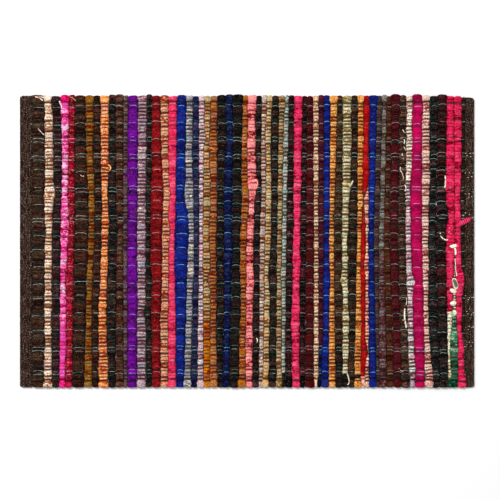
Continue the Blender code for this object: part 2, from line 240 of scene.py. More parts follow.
# Torn cotton: its dark tone, painted as the shade down in its folds, its own colour and its lightest,
# then the colour it turns to now and then and how long such a stretch is, its flecks where it was
# printed or marled, how lumpy it looks, and the third colour of a print, which single beads show.
CLOTHS = {
    "heading brown": Cloth("#0a0402", "#37231b", "#655348", "#2c1f14", 5, "#7f7063", 0.14),
    "brown ground": Cloth("#2c0b02", "#3b2919", "#5b3f30", "#2d2315", 8, "#262a1f", 0.18),
    "cream": Cloth("#e0ae8c", "#f4e4cb", "#f8dcd1", "#f8e2ba", 14, "#7f4428", 0.12, accent="#d9ceb5"),
    "black green": Cloth("#1a0102", "#2e0b0f", "#623b3c", "#470710", 7, "#192a28", 0.30),
    "pink": Cloth("#9d0a3b", "#f158a9", "#fac3e2", "#f13b9c", 16, rough=0.75, accent="#e8a6cc"),
    "bright pink": Cloth("#ec0168", "#ca4599", "#fb66d1", "#c93389", 22, rough=0.6),
    "crimson": Cloth("#510103", "#700103", "#e41861", "#7d010a", 16, "#cf7f72", 0.08, rough=0.5),
    "umber": Cloth("#1d0201", "#3f1606", "#5b3623", "#371607", 8, "#1b261f", 0.24),
    "coal brown": Cloth("#020101", "#150403", "#422420", "#110403", 8, "#17201d", 0.34),
    "khaki brown": Cloth("#3a1a02", "#3b331c", "#5e3f29", "#37351e", 8, "#442822", 0.18),
    "ochre": Cloth("#9d5101", "#805702", "#90723a", "#6f5302", 12, accent="#9b7837"),
    "black": Cloth("#020101", "#150302", "#633b32", "#0e0703", 7, "#15201d", 0.34),
    "bottle black": Cloth("#010101", "#080302", "#63332f", "#080202", 8, "#192619", 0.36),
    "slate black": Cloth("#010101", "#080202", "#5c4443", "#050202", 7, "#172220", 0.34),
    "wine brown": Cloth("#020101", "#200505", "#6a2e31", "#1b0404", 8, "#131c17", 0.26),
    "oxblood": Cloth("#010101", "#060101", "#722b33", "#060101", 8, "#101713", 0.24),
    "bronze brown": Cloth("#0c0401", "#39170a", "#603d26", "#2d1609", 10, "#192219", 0.30),
    "orange": Cloth("#fb8f4d", "#fbb972", "#fbb478", "#fbae5e", 16, "#7f3912", 0.12, accent="#e4a68c"),
    "red brown": Cloth("#441705", "#482516", "#734a3a", "#3f271d", 12, "#2e3b2a", 0.16),
    "plum grey": Cloth("#734253", "#5a4b35", "#716880", "#645b43", 12, "#2f3b2a", 0.16),
    "olive mix": Cloth("#473234", "#302826", "#5f4d45", "#332c1f", 10, "#552f33", 0.20),
    "purple": Cloth("#0a0103", "#560377", "#76108d", "#4d0165", 20, rough=0.35, accent="#68048a"),
    "mauve": Cloth("#b58493", "#b4a5ab", "#aa949c", "#99a7b9", 16, accent="#d1c6bd"),
    "red": Cloth("#460201", "#5a070c", "#b81a24", "#6b0507", 30, rough=0.5),
    "tan": Cloth("#e78f68", "#d8a481", "#c69c7f", "#caa978", 16, accent="#dca381"),
    "khaki tan": Cloth("#ad8a58", "#a39d74", "#b38c6a", "#9dab8d", 14, accent="#cca17a"),
    "coral": Cloth("#b00c3c", "#dd345d", "#e86684", "#dd2955", 20, rough=0.6),
    "blue": Cloth("#02053b", "#021563", "#28307a", "#021053", 18, rough=0.35, accent="#042380"),
    "sage grey": Cloth("#928c91", "#b4aeb2", "#a1949b", "#86a5a9", 14, "#44352c", 0.11, accent="#e0d5bd"),
    "dark navy": Cloth("#03114f", "#18293e", "#3f3757", "#142732", 10, "#443548", 0.16),
    "lilac white": Cloth("#dbb2b8", "#e0dcdf", "#c3b7b0", "#cee3e5", 16, accent="#e6aebd"),
    "olive tan": Cloth("#ce9553", "#b39e67", "#b79e74", "#9ba27b", 16, accent="#d7b281"),
    "burnt orange": Cloth("#dd6602", "#b48103", "#9b4631", "#9d7c03", 20),
    "rust": Cloth("#c7712a", "#b77632", "#88614c", "#a07437", 14, accent="#bd7f5c"),
    "navy": Cloth("#010222", "#01073d", "#233459", "#010c34", 10, rough=0.6),
    "amber": Cloth("#bb5d08", "#a6630c", "#b07249", "#8f6913", 12, accent="#bd8958"),
    "salmon": Cloth("#820b06", "#fb8888", "#faa5a3", "#fb797f", 16, rough=0.71),
    "maroon black": Cloth("#050101", "#210302", "#5a3436", "#190403", 7, "#15221d", 0.28),
    "mauve pink": Cloth("#d4a083", "#c2b8ad", "#aa9692", "#b4a9b1", 14, "#532c1d", 0.11, accent="#dad3c0"),
    "gold tan": Cloth("#d1a974", "#cfb994", "#ccb683", "#c2ba98", 14, "#533517", 0.11, accent="#d9a160"),
    "pale teal": Cloth("#a09c8e", "#b8c6bc", "#9a9b97", "#a9ccca", 14, "#403124", 0.12, accent="#d1c2bb"),
    "hot pink": Cloth("#7b071a", "#e62b60", "#e46a87", "#e6265a", 20, rough=0.6),
    "maroon": Cloth("#550101", "#410107", "#66081f", "#380209", 10, "#352626", 0.14),
    "plum": Cloth("#49022b", "#530810", "#4e182d", "#430610", 10, "#26282f", 0.14),
    "wine": Cloth("#500101", "#49030f", "#591723", "#3d030e", 10, "#2f2426", 0.14),
    "garnet": Cloth("#1b0101", "#360d0e", "#5d2024", "#28100e", 8, "#121915", 0.14),
    "cream tan": Cloth("#e2ac89", "#ead3b7", "#dba67f", "#edddb3", 12, "#56351d", 0.11, accent="#e0dab9"),
    "yellow orange": Cloth("#ee9a41", "#e5bb6b", "#eaa253", "#e8b566", 14, "#62310e", 0.11, accent="#e69042"),
    "sage cream": Cloth("#c6b381", "#e2d2ad", "#ebdcba", "#d9d2ad", 16, "#4b3e26", 0.12, accent="#c0c8b2"),
    "bright red": Cloth("#600101", "#9a0305", "#ee3a3a", "#880206", 20, rough=0.3),
    "peach": Cloth("#f8958b", "#f8d0b7", "#fbb687", "#f8cda4", 12, accent="#aec4a3"),
    "grey teal": Cloth("#604137", "#7d787a", "#8a9782", "#614d47", 20, "#393526", 0.14, rough=0.8),
    "plum brown": Cloth("#4f1c1b", "#66323d", "#7f7875", "#5a3733", 12),
    "brown": Cloth("#5d1202", "#432510", "#61341f", "#362510", 10, "#35351d", 0.16),
    "olive black": Cloth("#390e02", "#38120a", "#775444", "#2c120d", 8, "#374931", 0.22),
    "white": Cloth("#ecc3ad", "#faf1e2", "#fbfadd", "#fbfaed", 14, "#53332c", 0.12, accent="#ccd5cc"),
    "mint white": Cloth("#daa7ab", "#e2e6e3", "#cff2d5", "#e4f1ed", 14, "#463b33", 0.12, accent="#c0d5c8"),
    "magenta": Cloth("#60011f", "#9c0644", "#cb0955", "#8a043d", 26, rough=0.38, accent="#b8044e"),
    "peach print": Cloth("#e49d8f", "#e3d4c8", "#f4c3b1", "#e3beac", 12, accent="#e2decc"),
    "bottle green": Cloth("#093b23", "#296449", "#6a7263", "#295641", 16, rough=0.6),
    "green print": Cloth("#46604c", "#1f8f5e", "#c6d8b6", "#7cc096", 10, rough=0.8, accent="#0a442c"),
    "ivory": Cloth("#a98c66", "#ddcfa8", "#fbf5e4", "#cdbb90", 12, rough=0.8, accent="#e6e8ca"),
    "rose": Cloth("#6e030d", "#e0184e", "#ec5484", "#dc2c56", 24, "#811937", 0.10, rough=0.55),
}
HEADING_CLOTH = "heading brown"
CLOTH_NUMBERS = {name: number for number, name in enumerate(CLOTHS)}
DARK = 0.06                   # a cloth of less luminance is a dark soft one


def is_dark(name):
    """Whether a cloth is one of the dark soft ones, on which the warps bow most."""
    red, green, blue, _ = linear(CLOTHS[name].body)
    return 0.21 * red + 0.72 * green + 0.07 * blue < DARK


# Yarn: its name and its two tones. The last is the bright one of the chart, whose lighter tone
# is a setting, and the one before it, a common yarn, also stands in for it as painted shade deep
# between light beads.
YARNS = (
    ("black brown", "#140d09", "#23150f"),
    ("brown", "#261913", "#3b2c26"),
    ("maroon", "#350c15", "#551924"),
    ("bottle green", "#0b221d", "#244239"),
    ("teal", "#50716a", "#b6ccc3"),
)
TEAL, SHADED = len(YARNS) - 1, len(YARNS) - 2
YARN_SHARES = (0.60, 0.20, 0.12, 0.08)      # of the yarns before the last
FLUFF = 0.45                  # how much of a dark cloth's colour clings to a bright warp on it

# ---------------------------------------------------------------- settings

LENGTH = {"subtype": "DISTANCE", "unit": "LENGTH"}


class WeaveSettings(bpy.types.PropertyGroup):
    """How the strips and the warps are woven together."""

    warp_ends: IntProperty(name="Warp ends", description="Warp threads across the rug", default=162, min=8)
    warp_margin: FloatProperty(
        name="Selvedge", description="From the rug's edge to the outermost warp", default=0.0140, **LENGTH,
    )
    groove: FloatProperty(
        name="Groove", description="How deep a warp presses into a strip", default=0.0026, **LENGTH,
    )
    groove_reach: FloatProperty(
        name="Groove reach", description="From the bottom of a groove to its shoulder",
        default=0.0016, **LENGTH,
    )
    pinch: FloatProperty(
        name="Pinch", description="How much a warp narrows a strip", default=0.19, subtype="FACTOR",
    )
    overlap: FloatProperty(
        name="Overlap", description="How much wider a strip is than its place",
        default=0.10, subtype="FACTOR",
    )
    crumple: FloatProperty(
        name="Crumple", description="Height of the folds in the crushed cloth", default=0.0024, **LENGTH,
    )
    crumple_size: FloatProperty(
        name="Crumple size", description="Size of the folds in the crushed cloth", default=0.005, **LENGTH,
    )
    pick_crumple: FloatProperty(
        name="Heading crumple", description="Unevenness of the fine picks in the headings",
        default=0.0009, **LENGTH,
    )
    bow: FloatProperty(
        name="Bow", description="How far the warps bow back, as a share of a strip's half width",
        default=0.24, subtype="FACTOR",
    )
    sides: IntProperty(name="Sides", description="Sides of a strip's section", default=12, min=6)
    pick_sides: IntProperty(
        name="Pick sides", description="Sides of a heading pick's section", default=8, min=6,
    )
    seed: IntProperty(name="Seed", description="Seed of all the unevenness", default=7)


class YarnSettings(bpy.types.PropertyGroup):
    """The warp yarn."""

    width: FloatProperty(name="Width", description="Width of a warp thread", default=0.0014, **LENGTH)
    teal: FloatVectorProperty(
        name="Teal yarn", description="Lighter colour of the bright warps", subtype="COLOR", size=3,
        default=linear(YARNS[TEAL][2])[:3], min=0.0, max=1.0,
    )


class StageSettings(bpy.types.PropertyGroup):
    """The floor, the light and the camera straight above."""

    view_side: FloatProperty(
        name="View side", description="Side of the square that the camera takes in", default=0.990, **LENGTH,
    )
    view_x: FloatProperty(name="View X", description="Middle of the view", default=0.0060, unit="LENGTH")
    view_y: FloatProperty(name="View Y", description="Middle of the view", default=-0.0173, unit="LENGTH")
    camera_height: FloatProperty(
        name="Camera height", description="Height of the camera above the floor", default=2.2, **LENGTH,
    )
    key_power: FloatProperty(
        name="Key light", description="Power of the large soft light", default=288.0, unit="POWER",
    )
    fill: FloatProperty(name="Fill", description="Strength of the light from all round", default=0.625)
    floor: FloatVectorProperty(
        name="Floor", description="Colour of the floor", subtype="COLOR", size=3,
        default=linear("#dfdfdf")[:3], min=0.0, max=1.0,
    )


# ---------------------------------------------------------------- helpers


def node(tree, kind, values=None, **settings):
    """Add a node. settings are its properties; values sets or links its inputs, by name or number."""
    made = tree.nodes.new(kind)
    for name, value in settings.items():
        setattr(made, name, value)
    for key, value in (values or {}).items():
        if isinstance(value, bpy.types.Node):
            value = value.outputs[0]
        if isinstance(value, bpy.types.NodeSocket):
            tree.links.new(value, made.inputs[key])
        else:
            made.inputs[key].default_value = value
    return made


def new_tree(name, inputs):
    """A geometry tree with a geometry socket each way and the named inputs, each with its default."""
    tree = bpy.data.node_groups.new(name, "GeometryNodeTree")
    for way in ("OUTPUT", "INPUT"):
        tree.interface.new_socket("Geometry", in_out=way, socket_type="NodeSocketGeometry")
    for label, default in inputs.items():
        kind = "NodeSocketInt" if isinstance(default, int) else "NodeSocketFloat"
        tree.interface.new_socket(label, in_out="INPUT", socket_type=kind).default_value = default
    return tree, node(tree, "NodeGroupInput")


def guide_mesh(rows):
    """A mesh of open polylines. A row has a line's points, and an array of values for each name."""
    mesh = bpy.data.meshes.new("guide")
    points = np.concatenate([row[0] for row in rows])
    starts = np.cumsum([0] + [len(row[0]) for row in rows])
    firsts = np.concatenate([np.arange(start, end - 1) for start, end in zip(starts, starts[1:])])
    mesh.vertices.add(len(points))
    mesh.vertices.foreach_set("co", points.astype(np.float32).ravel())
    mesh.edges.add(len(firsts))
    mesh.edges.foreach_set("vertices", np.stack([firsts, firsts + 1], 1).astype(np.int32).ravel())
    for label in rows[0][1]:
        values = np.concatenate([row[1][label] for row in rows])
        whole = np.issubdtype(values.dtype, np.integer)
        layer = mesh.attributes.new(label, "INT" if whole else "FLOAT", "POINT")
        layer.data.foreach_set("value", values.astype(np.int32 if whole else np.float32))
    return mesh


def put(name, data, place=(0, 0, 0)):
    """An object in the scene, at its place."""
    made = bpy.data.objects.new(name, data)
    made.location = place
    bpy.context.scene.collection.objects.link(made)
    return made


def make_piece(name, rows, tree, inputs):
    """Put guide lines through the tree. The plain mesh that comes out is a piece of the rug."""
    guide = guide_mesh(rows)
    piece = put(name, guide)
    modifier = piece.modifiers.new("tree", "NODES")
    modifier.node_group = tree
    sockets = {s.name: s.identifier for s in tree.interface.items_tree if s.in_out == "INPUT"}
    for label, value in inputs.items():
        modifier[sockets[label]] = value
    bpy.context.view_layer.update()
    plain = bpy.data.meshes.new_from_object(piece.evaluated_get(bpy.context.evaluated_depsgraph_get()))
    piece.modifiers.clear()
    piece.data = plain
    plain.name = name
    bpy.data.meshes.remove(guide)
    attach(piece, "root")
    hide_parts("rug")


def finish_tree(tree, geometry, materials):
    """Close a tree: smooth faces, real instances, and the material of each cloth number."""
    shaded = node(tree, "GeometryNodeSetShadeSmooth", {"Geometry": geometry})
    last = node(tree, "GeometryNodeRealizeInstances", {"Geometry": shaded})
    # a face takes its number from one of its points, because an average would be another cloth's
    cloth = node(tree, "GeometryNodeInputNamedAttribute", {"Name": "cloth"}, data_type="INT")
    point = node(tree, "GeometryNodeVertexOfCorner", {0: node(tree, "GeometryNodeCornersOfFace")})
    own = node(tree, "GeometryNodeFieldAtIndex", {
        "Index": point, "Value": cloth,
    }, data_type="INT", domain="POINT")
    for number, material in materials.items():
        chosen = node(tree, "FunctionNodeCompare", {
            2: own.outputs[0], 3: number,
        }, data_type="INT", operation="EQUAL")
        last = node(tree, "GeometryNodeSetMaterial", {
            "Geometry": last, "Selection": chosen, "Material": material,
        })
    node(tree, "NodeGroupOutput", {0: last})
    return tree


# ---------------------------------------------------------------- the plan of the weave


def smooth_noise(rng, count, x, wave):
    """count rows of smooth unevenness along x, each about -1 to 1, with bumps about wave long."""
    total = np.zeros((count, len(x)))
    for octave in (1.0, 1.9, 3.1):
        phase = rng.uniform(0, 2 * math.pi, (count, 1))
        stretch = rng.uniform(0.8, 1.25, (count, 1))
        total += np.sin(2 * math.pi * x * octave * stretch / wave + phase) / octave
    return total / 1.6


def bell(y, middle_mm, long_mm):
    """A smooth swell along y, 1 in the middle of its stretch."""
    return np.exp(-(((y / MM - middle_mm) / (long_mm / 2)) ** 2))


PICKS = 8                     # fine wefts in each heading
BUNDLES = 2 * PICKS + len(STRIPS)
FIRST_PICKS, LAST_PICKS = range(PICKS), range(PICKS + len(STRIPS), BUNDLES)
STRIP_BUNDLES = range(PICKS, PICKS + len(STRIPS))
STRIP_PIECES = 4
GRID_STEP = 0.002
NARROW_FURROW = 0.004         # between strips narrower than this it wanders half as far
NARROWEST = 0.0016            # half width under which a strip has run out
FURROW_WAVES = ((0.060, 0.00045), (0.016, 0.00022))      # how a furrow wanders: bump length, height
CROWN_BASE, CROWN_PER_WIDTH, CROWN_RANGE = 0.0058, 0.22, (0.0080, 0.0096)
HEADING_CROWN = 0.0054
STRIP_MIDDLE, PICK_MIDDLE = 0.50, 0.72      # the widest part of a bundle, as a share of its crown
SECTION_SIDE, SECTION_TOP, SECTION_BOTTOM = 0.74, 0.85, 0.55      # under 1 is boxier than an ellipse
BOW_FLATNESS = 3.5            # exponent of the warps' arc over a strip: 2 is a plain parabola
BOW_SHARES = (-0.45, 0.0), (0.45, 1.0)      # they bow less at the start: two X, and the share at each
PALE_BOW = 0.35               # and less on the strips that aren't dark
BOW_FADE = 0.02               # from an edge to where the warps bow in full
# how uneven a bundle is along its length, as shares: bump length, bumps, and from ring to ring
WIDTH_WAVE, WIDTH_BUMPS, WIDTH_STRAY = 0.020, 0.04, 0.025
CROWN_WAVE, CROWN_BUMPS, CROWN_STRAY = 0.024, 0.03, 0.02
BOW_WAVE, BOW_BUMPS = 0.05, 0.3
# How hard warps press a strip: they bite deep, or half, or hardly at all. For each: up to which
# chance they do on a smooth strip, how much more on a lumpy one and more again on a pale one;
# the press, what a pale strip adds to it, and its range.
BITES = ((0.08, 0.27, 0.20, 0.95, 0.0, 0.35), (0.30, 0.48, 0.12, 0.45, 0.15, 0.30),
         (1.0, 0.0, 0.0, 0.08, 0.0, 0.22))
SMOOTH_PRESS = 0.3            # the share of its press that a smooth strip shows
SELVEDGE_WARPS, SELVEDGE_PRESS, SELVEDGE_RANGE = (0, 1, -2, -1), 0.9, 0.4
PICK_PRESS, PICK_PRESS_RANGE = 0.22, 0.1
# how light beads are, and what a pale strip adds: from bead to bead, and in bumps
TONE_STRAY, PALE_TONE_STRAY, TONE_WAVE, TONE_BUMPS, PALE_TONE_BUMPS = 0.55, -0.25, 0.034, 0.7, 0.7
SWELL_STRAY, SWELL_MOST, PICK_SWELL = 0.06, 0.12, 0.3      # how fat beads are, and a pick's share of it
PALE_ROUGH = 0.7              # a strip that isn't dark counts as pale if it is lumpier than this
CORNER_RADIUS = 0.006
DRAWN_LENGTH, DRAWN_DEPTH = 0.065, 0.004    # the last back corner is drawn in
END_JITTER, END_JITTER_MOST = 0.12, 0.25    # how unevenly the warps lie, as shares of their pitch
END_WAVES = ((21, 9, 0.0007), (63, 31, 0.0004), (8, -5, 0.0006))      # along X, across, and how far
EDGE_CALM, EDGE_SHARE = 0.04, 0.25          # near a long edge, so far from it, they wander less
# The warps sag to the front at the first and the last strips: how far, from which X on, and over
# what length. At the last ones the back warps sag less, from a Y on and over a width.
START_SAG, START_SAG_X, START_SAG_LONG = 0.0032, -0.26, 0.12
FINISH_SAG, FINISH_SAG_X, FINISH_SAG_LONG = 0.0062, 0.20, 0.20
FINISH_SAG_Y, FINISH_SAG_WIDE = 0.02, 0.10
SHAPE = ("centre", "half", "crown", "middle", "bow")      # the grids that make a bundle's shape


class Weave:
    """Where every bundle and warp lies, and how hard each warp presses each bundle.

    A bundle is a strip of torn cloth or a fine pick of the heading, numbered from -X. Its
    shape is kept on a grid of Y.
    """

    def __init__(self, settings):
        rng = self.rng = np.random.default_rng(settings.seed)
        self.settings = settings
        self.ends = settings.warp_ends
        inner = RUG_WIDTH - 2 * settings.warp_margin
        self.pitch = inner / (self.ends - 1)
        self.first_y = -inner / 2
        jitter = rng.normal(0, END_JITTER, self.ends)
        self.end_shift = np.clip(jitter, -END_JITTER_MOST, END_JITTER_MOST) * self.pitch
        self.wave = rng.uniform(0, 2 * math.pi, 3)

        y = self.y = np.arange(-RUG_WIDTH / 2, RUG_WIDTH / 2 + GRID_STEP, GRID_STEP)
        start, finish = ([[width / PICKS for width in row]] * PICKS for row in HEADING_WIDTHS_MM)
        table = start + [row[1:] for row in STRIPS] + finish
        along = np.clip(y / STATION_Y, -1, 1)
        widths = np.array([np.interp(along, (-1, 0, 1), row[::-1]) for row in table])
        widths *= RUG_LENGTH / widths.sum(0)
        furrows = np.vstack([np.zeros(len(y)), np.cumsum(widths, 0)]) - RUG_LENGTH / 2
        furrows[1:-1] += sum(
            smooth_noise(rng, BUNDLES - 1, y, wave) * high for wave, high in FURROW_WAVES
        ) * np.where(np.minimum(widths[1:], widths[:-1]) < NARROW_FURROW, 0.5, 1.0)
        for strip, rows in SHIFTS.items():
            for y_mm, long_mm, by_mm in rows:
                furrows[PICKS + strip] += by_mm * MM * bell(y, y_mm, long_mm)
        left, right = furrows[:-1].copy(), furrows[1:].copy()
        for strip, rows in BULGES.items():
            for y_mm, long_mm, left_mm, right_mm in rows:
                swell = bell(y, y_mm, long_mm)
                left[PICKS + strip] -= left_mm * MM * swell
                right[PICKS + strip] += right_mm * MM * swell
        self.centre = (left + right) / 2
        uneven = WIDTH_BUMPS * smooth_noise(rng, BUNDLES, y, WIDTH_WAVE)
        uneven = uneven + WIDTH_STRAY * rng.normal(size=left.shape)
        self.half = (right - left) / 2 * (1 + settings.overlap) * (1 + uneven)
        picks = np.ones(BUNDLES, bool)
        picks[STRIP_BUNDLES] = False
        crown = np.clip(CROWN_BASE + CROWN_PER_WIDTH * (right - left), *CROWN_RANGE)
        crown[picks] = HEADING_CROWN
        uneven = 1 + CROWN_BUMPS * smooth_noise(rng, BUNDLES, y, CROWN_WAVE)
        crown *= uneven + CROWN_STRAY * rng.normal(size=left.shape)
        self.crown = crown
        self.middle = crown * np.where(picks, PICK_MIDDLE, STRIP_MIDDLE)[:, None]
        share = np.zeros((BUNDLES, 1))
        share[STRIP_BUNDLES, 0] = [1.0 if is_dark(cloth) else PALE_BOW for cloth, *_ in STRIPS]
        self.bow = settings.bow * share * self.half
        self.bow *= 1 + BOW_BUMPS * smooth_noise(rng, BUNDLES, y, BOW_WAVE)
        self.bow *= np.interp(self.centre, *BOW_SHARES)
        self.bow *= np.clip((RUG_WIDTH / 2 - np.abs(y)) / BOW_FADE, 0.0, 1.0)

        # how hard each warp presses each bundle
        count = (BUNDLES, self.ends)
        self.rough = np.ones(BUNDLES)
        self.rough[STRIP_BUNDLES] = [CLOTHS[cloth].rough for cloth, *_ in STRIPS]
        rough = self.rough[:, None]
        pale = np.zeros((BUNDLES, 1))
        pale[STRIP_BUNDLES, 0] = [
            not is_dark(cloth) and CLOTHS[cloth].rough > PALE_ROUGH for cloth, *_ in STRIPS
        ]
        chance, size = rng.random(count), rng.random(count)
        self.press = np.select(
            [chance < least + (lumpy + more * pale) * rough for least, lumpy, more, *_ in BITES],
            [press + gain * pale + span * size for *_, press, gain, span in BITES],
        )
        self.press *= SMOOTH_PRESS + (1 - SMOOTH_PRESS) * rough
        outer = rng.random((BUNDLES, len(SELVEDGE_WARPS)))
        self.press[:, SELVEDGE_WARPS] = SELVEDGE_PRESS + SELVEDGE_RANGE * outer
        self.press[picks] = PICK_PRESS + PICK_PRESS_RANGE * rng.random((picks.sum(), self.ends))
        # how light and how fat the cloth of each bead between two warps is
        count = (BUNDLES, self.ends + 1)
        bead_y = self.first_y + (np.arange(self.ends + 1) - 0.5) * self.pitch
        self.tone = (TONE_STRAY + PALE_TONE_STRAY * pale) * rng.normal(0, 1, count) * rough
        bumps = smooth_noise(rng, BUNDLES, bead_y, TONE_WAVE)
        self.tone += (TONE_BUMPS + PALE_TONE_BUMPS * pale) * bumps * rough
        self.swell = rng.normal(0, SWELL_STRAY, count).clip(-SWELL_MOST, SWELL_MOST)
        self.swell[picks] *= PICK_SWELL
        # which of its cloth's colours each bead shows
        self.hue = np.random.default_rng(settings.seed + 1).uniform(-1, 1, count)

    def end_y(self, thread, x):
        """Y of a warp at x: the warps wander a little, and sag to the front near both headings."""
        base = self.first_y + np.asarray(thread) * self.pitch
        wander = sum(
            np.sin(x * along + base * across + phase) * high
            for (along, across, high), phase in zip(END_WAVES, self.wave)
        )
        wander = wander - START_SAG * np.clip((START_SAG_X - x) / START_SAG_LONG, 0, 1)
        sag = FINISH_SAG * np.clip((x - FINISH_SAG_X) / FINISH_SAG_LONG, 0, 1)
        wander = wander - sag * np.clip((FINISH_SAG_Y - base) / FINISH_SAG_WIDE, 0, 1)
        near_edge = np.clip((RUG_WIDTH / 2 - np.abs(base)) / EDGE_CALM, EDGE_SHARE, 1)
        return base + (self.end_shift[thread] + wander) * near_edge

    def at(self, grids, bundle, y):
        """The values of a bundle's grids at y."""
        return [np.interp(y, self.y, getattr(self, grid)[bundle]) for grid in grids]

    @staticmethod
    def over(bundle, thread):
        """Whether a warp lies over a bundle."""
        return (np.asarray(bundle) + np.asarray(thread)) % 2 == 0

    @staticmethod
    def drawn_in(x):
        """How far the back edge lies inside the rug's box at x: the last corner is drawn in."""
        along = np.clip((x - (RUG_LENGTH / 2 - DRAWN_LENGTH)) / DRAWN_LENGTH, 0, 1)
        return DRAWN_DEPTH * along * along * (3 - 2 * along)

    @staticmethod
    def corner(x):
        """How far a bundle at x ends inside the rug's box, so that the corners are round."""
        beside = np.clip((RUG_LENGTH / 2 - abs(x)) / CORNER_RADIUS, 0, 1)
        return CORNER_RADIUS * (1 - math.sqrt(1 - (1 - beside) ** 2))


WEAVES = []


def weave_of(context):
    """The plan, worked out once and shared by the operators."""
    if not WEAVES:
        WEAVES.append(Weave(context.scene.rag_rug_weave))
    return WEAVES[0]


# ---------------------------------------------------------------- bundles and threads

CRUMPLE_INPUTS = {"Crumple": 0.002, "Crumple size": 0.006, "Seed": 0}


def crumple(tree, given, place, lowest):
    """Move a place by the folds of the crushed cloth, and keep it above the lowest height."""
    bumps = node(tree, "ShaderNodeTexNoise", {
        "Vector": place, "W": given.outputs["Seed"], "Detail": 1.0,
        "Scale": node(tree, "ShaderNodeMath", {0: 1.0, 1: given.outputs["Crumple size"]}, operation="DIVIDE"),
    }, noise_dimensions="4D")
    centred = node(tree, "ShaderNodeVectorMath", {
        0: bumps.outputs[1], 1: (0.5, 0.5, 0.53),
    }, operation="SUBTRACT")
    moved = node(tree, "ShaderNodeVectorMath", {
        0: centred, "Scale": given.outputs["Crumple"],
    }, operation="SCALE")
    crumpled = node(tree, "ShaderNodeVectorMath", {0: place, 1: moved}, operation="ADD")
    floor = node(tree, "ShaderNodeCombineXYZ", {"X": -9.0, "Y": -9.0, "Z": lowest})
    return node(tree, "ShaderNodeVectorMath", {0: crumpled, 1: floor}, operation="MAXIMUM")


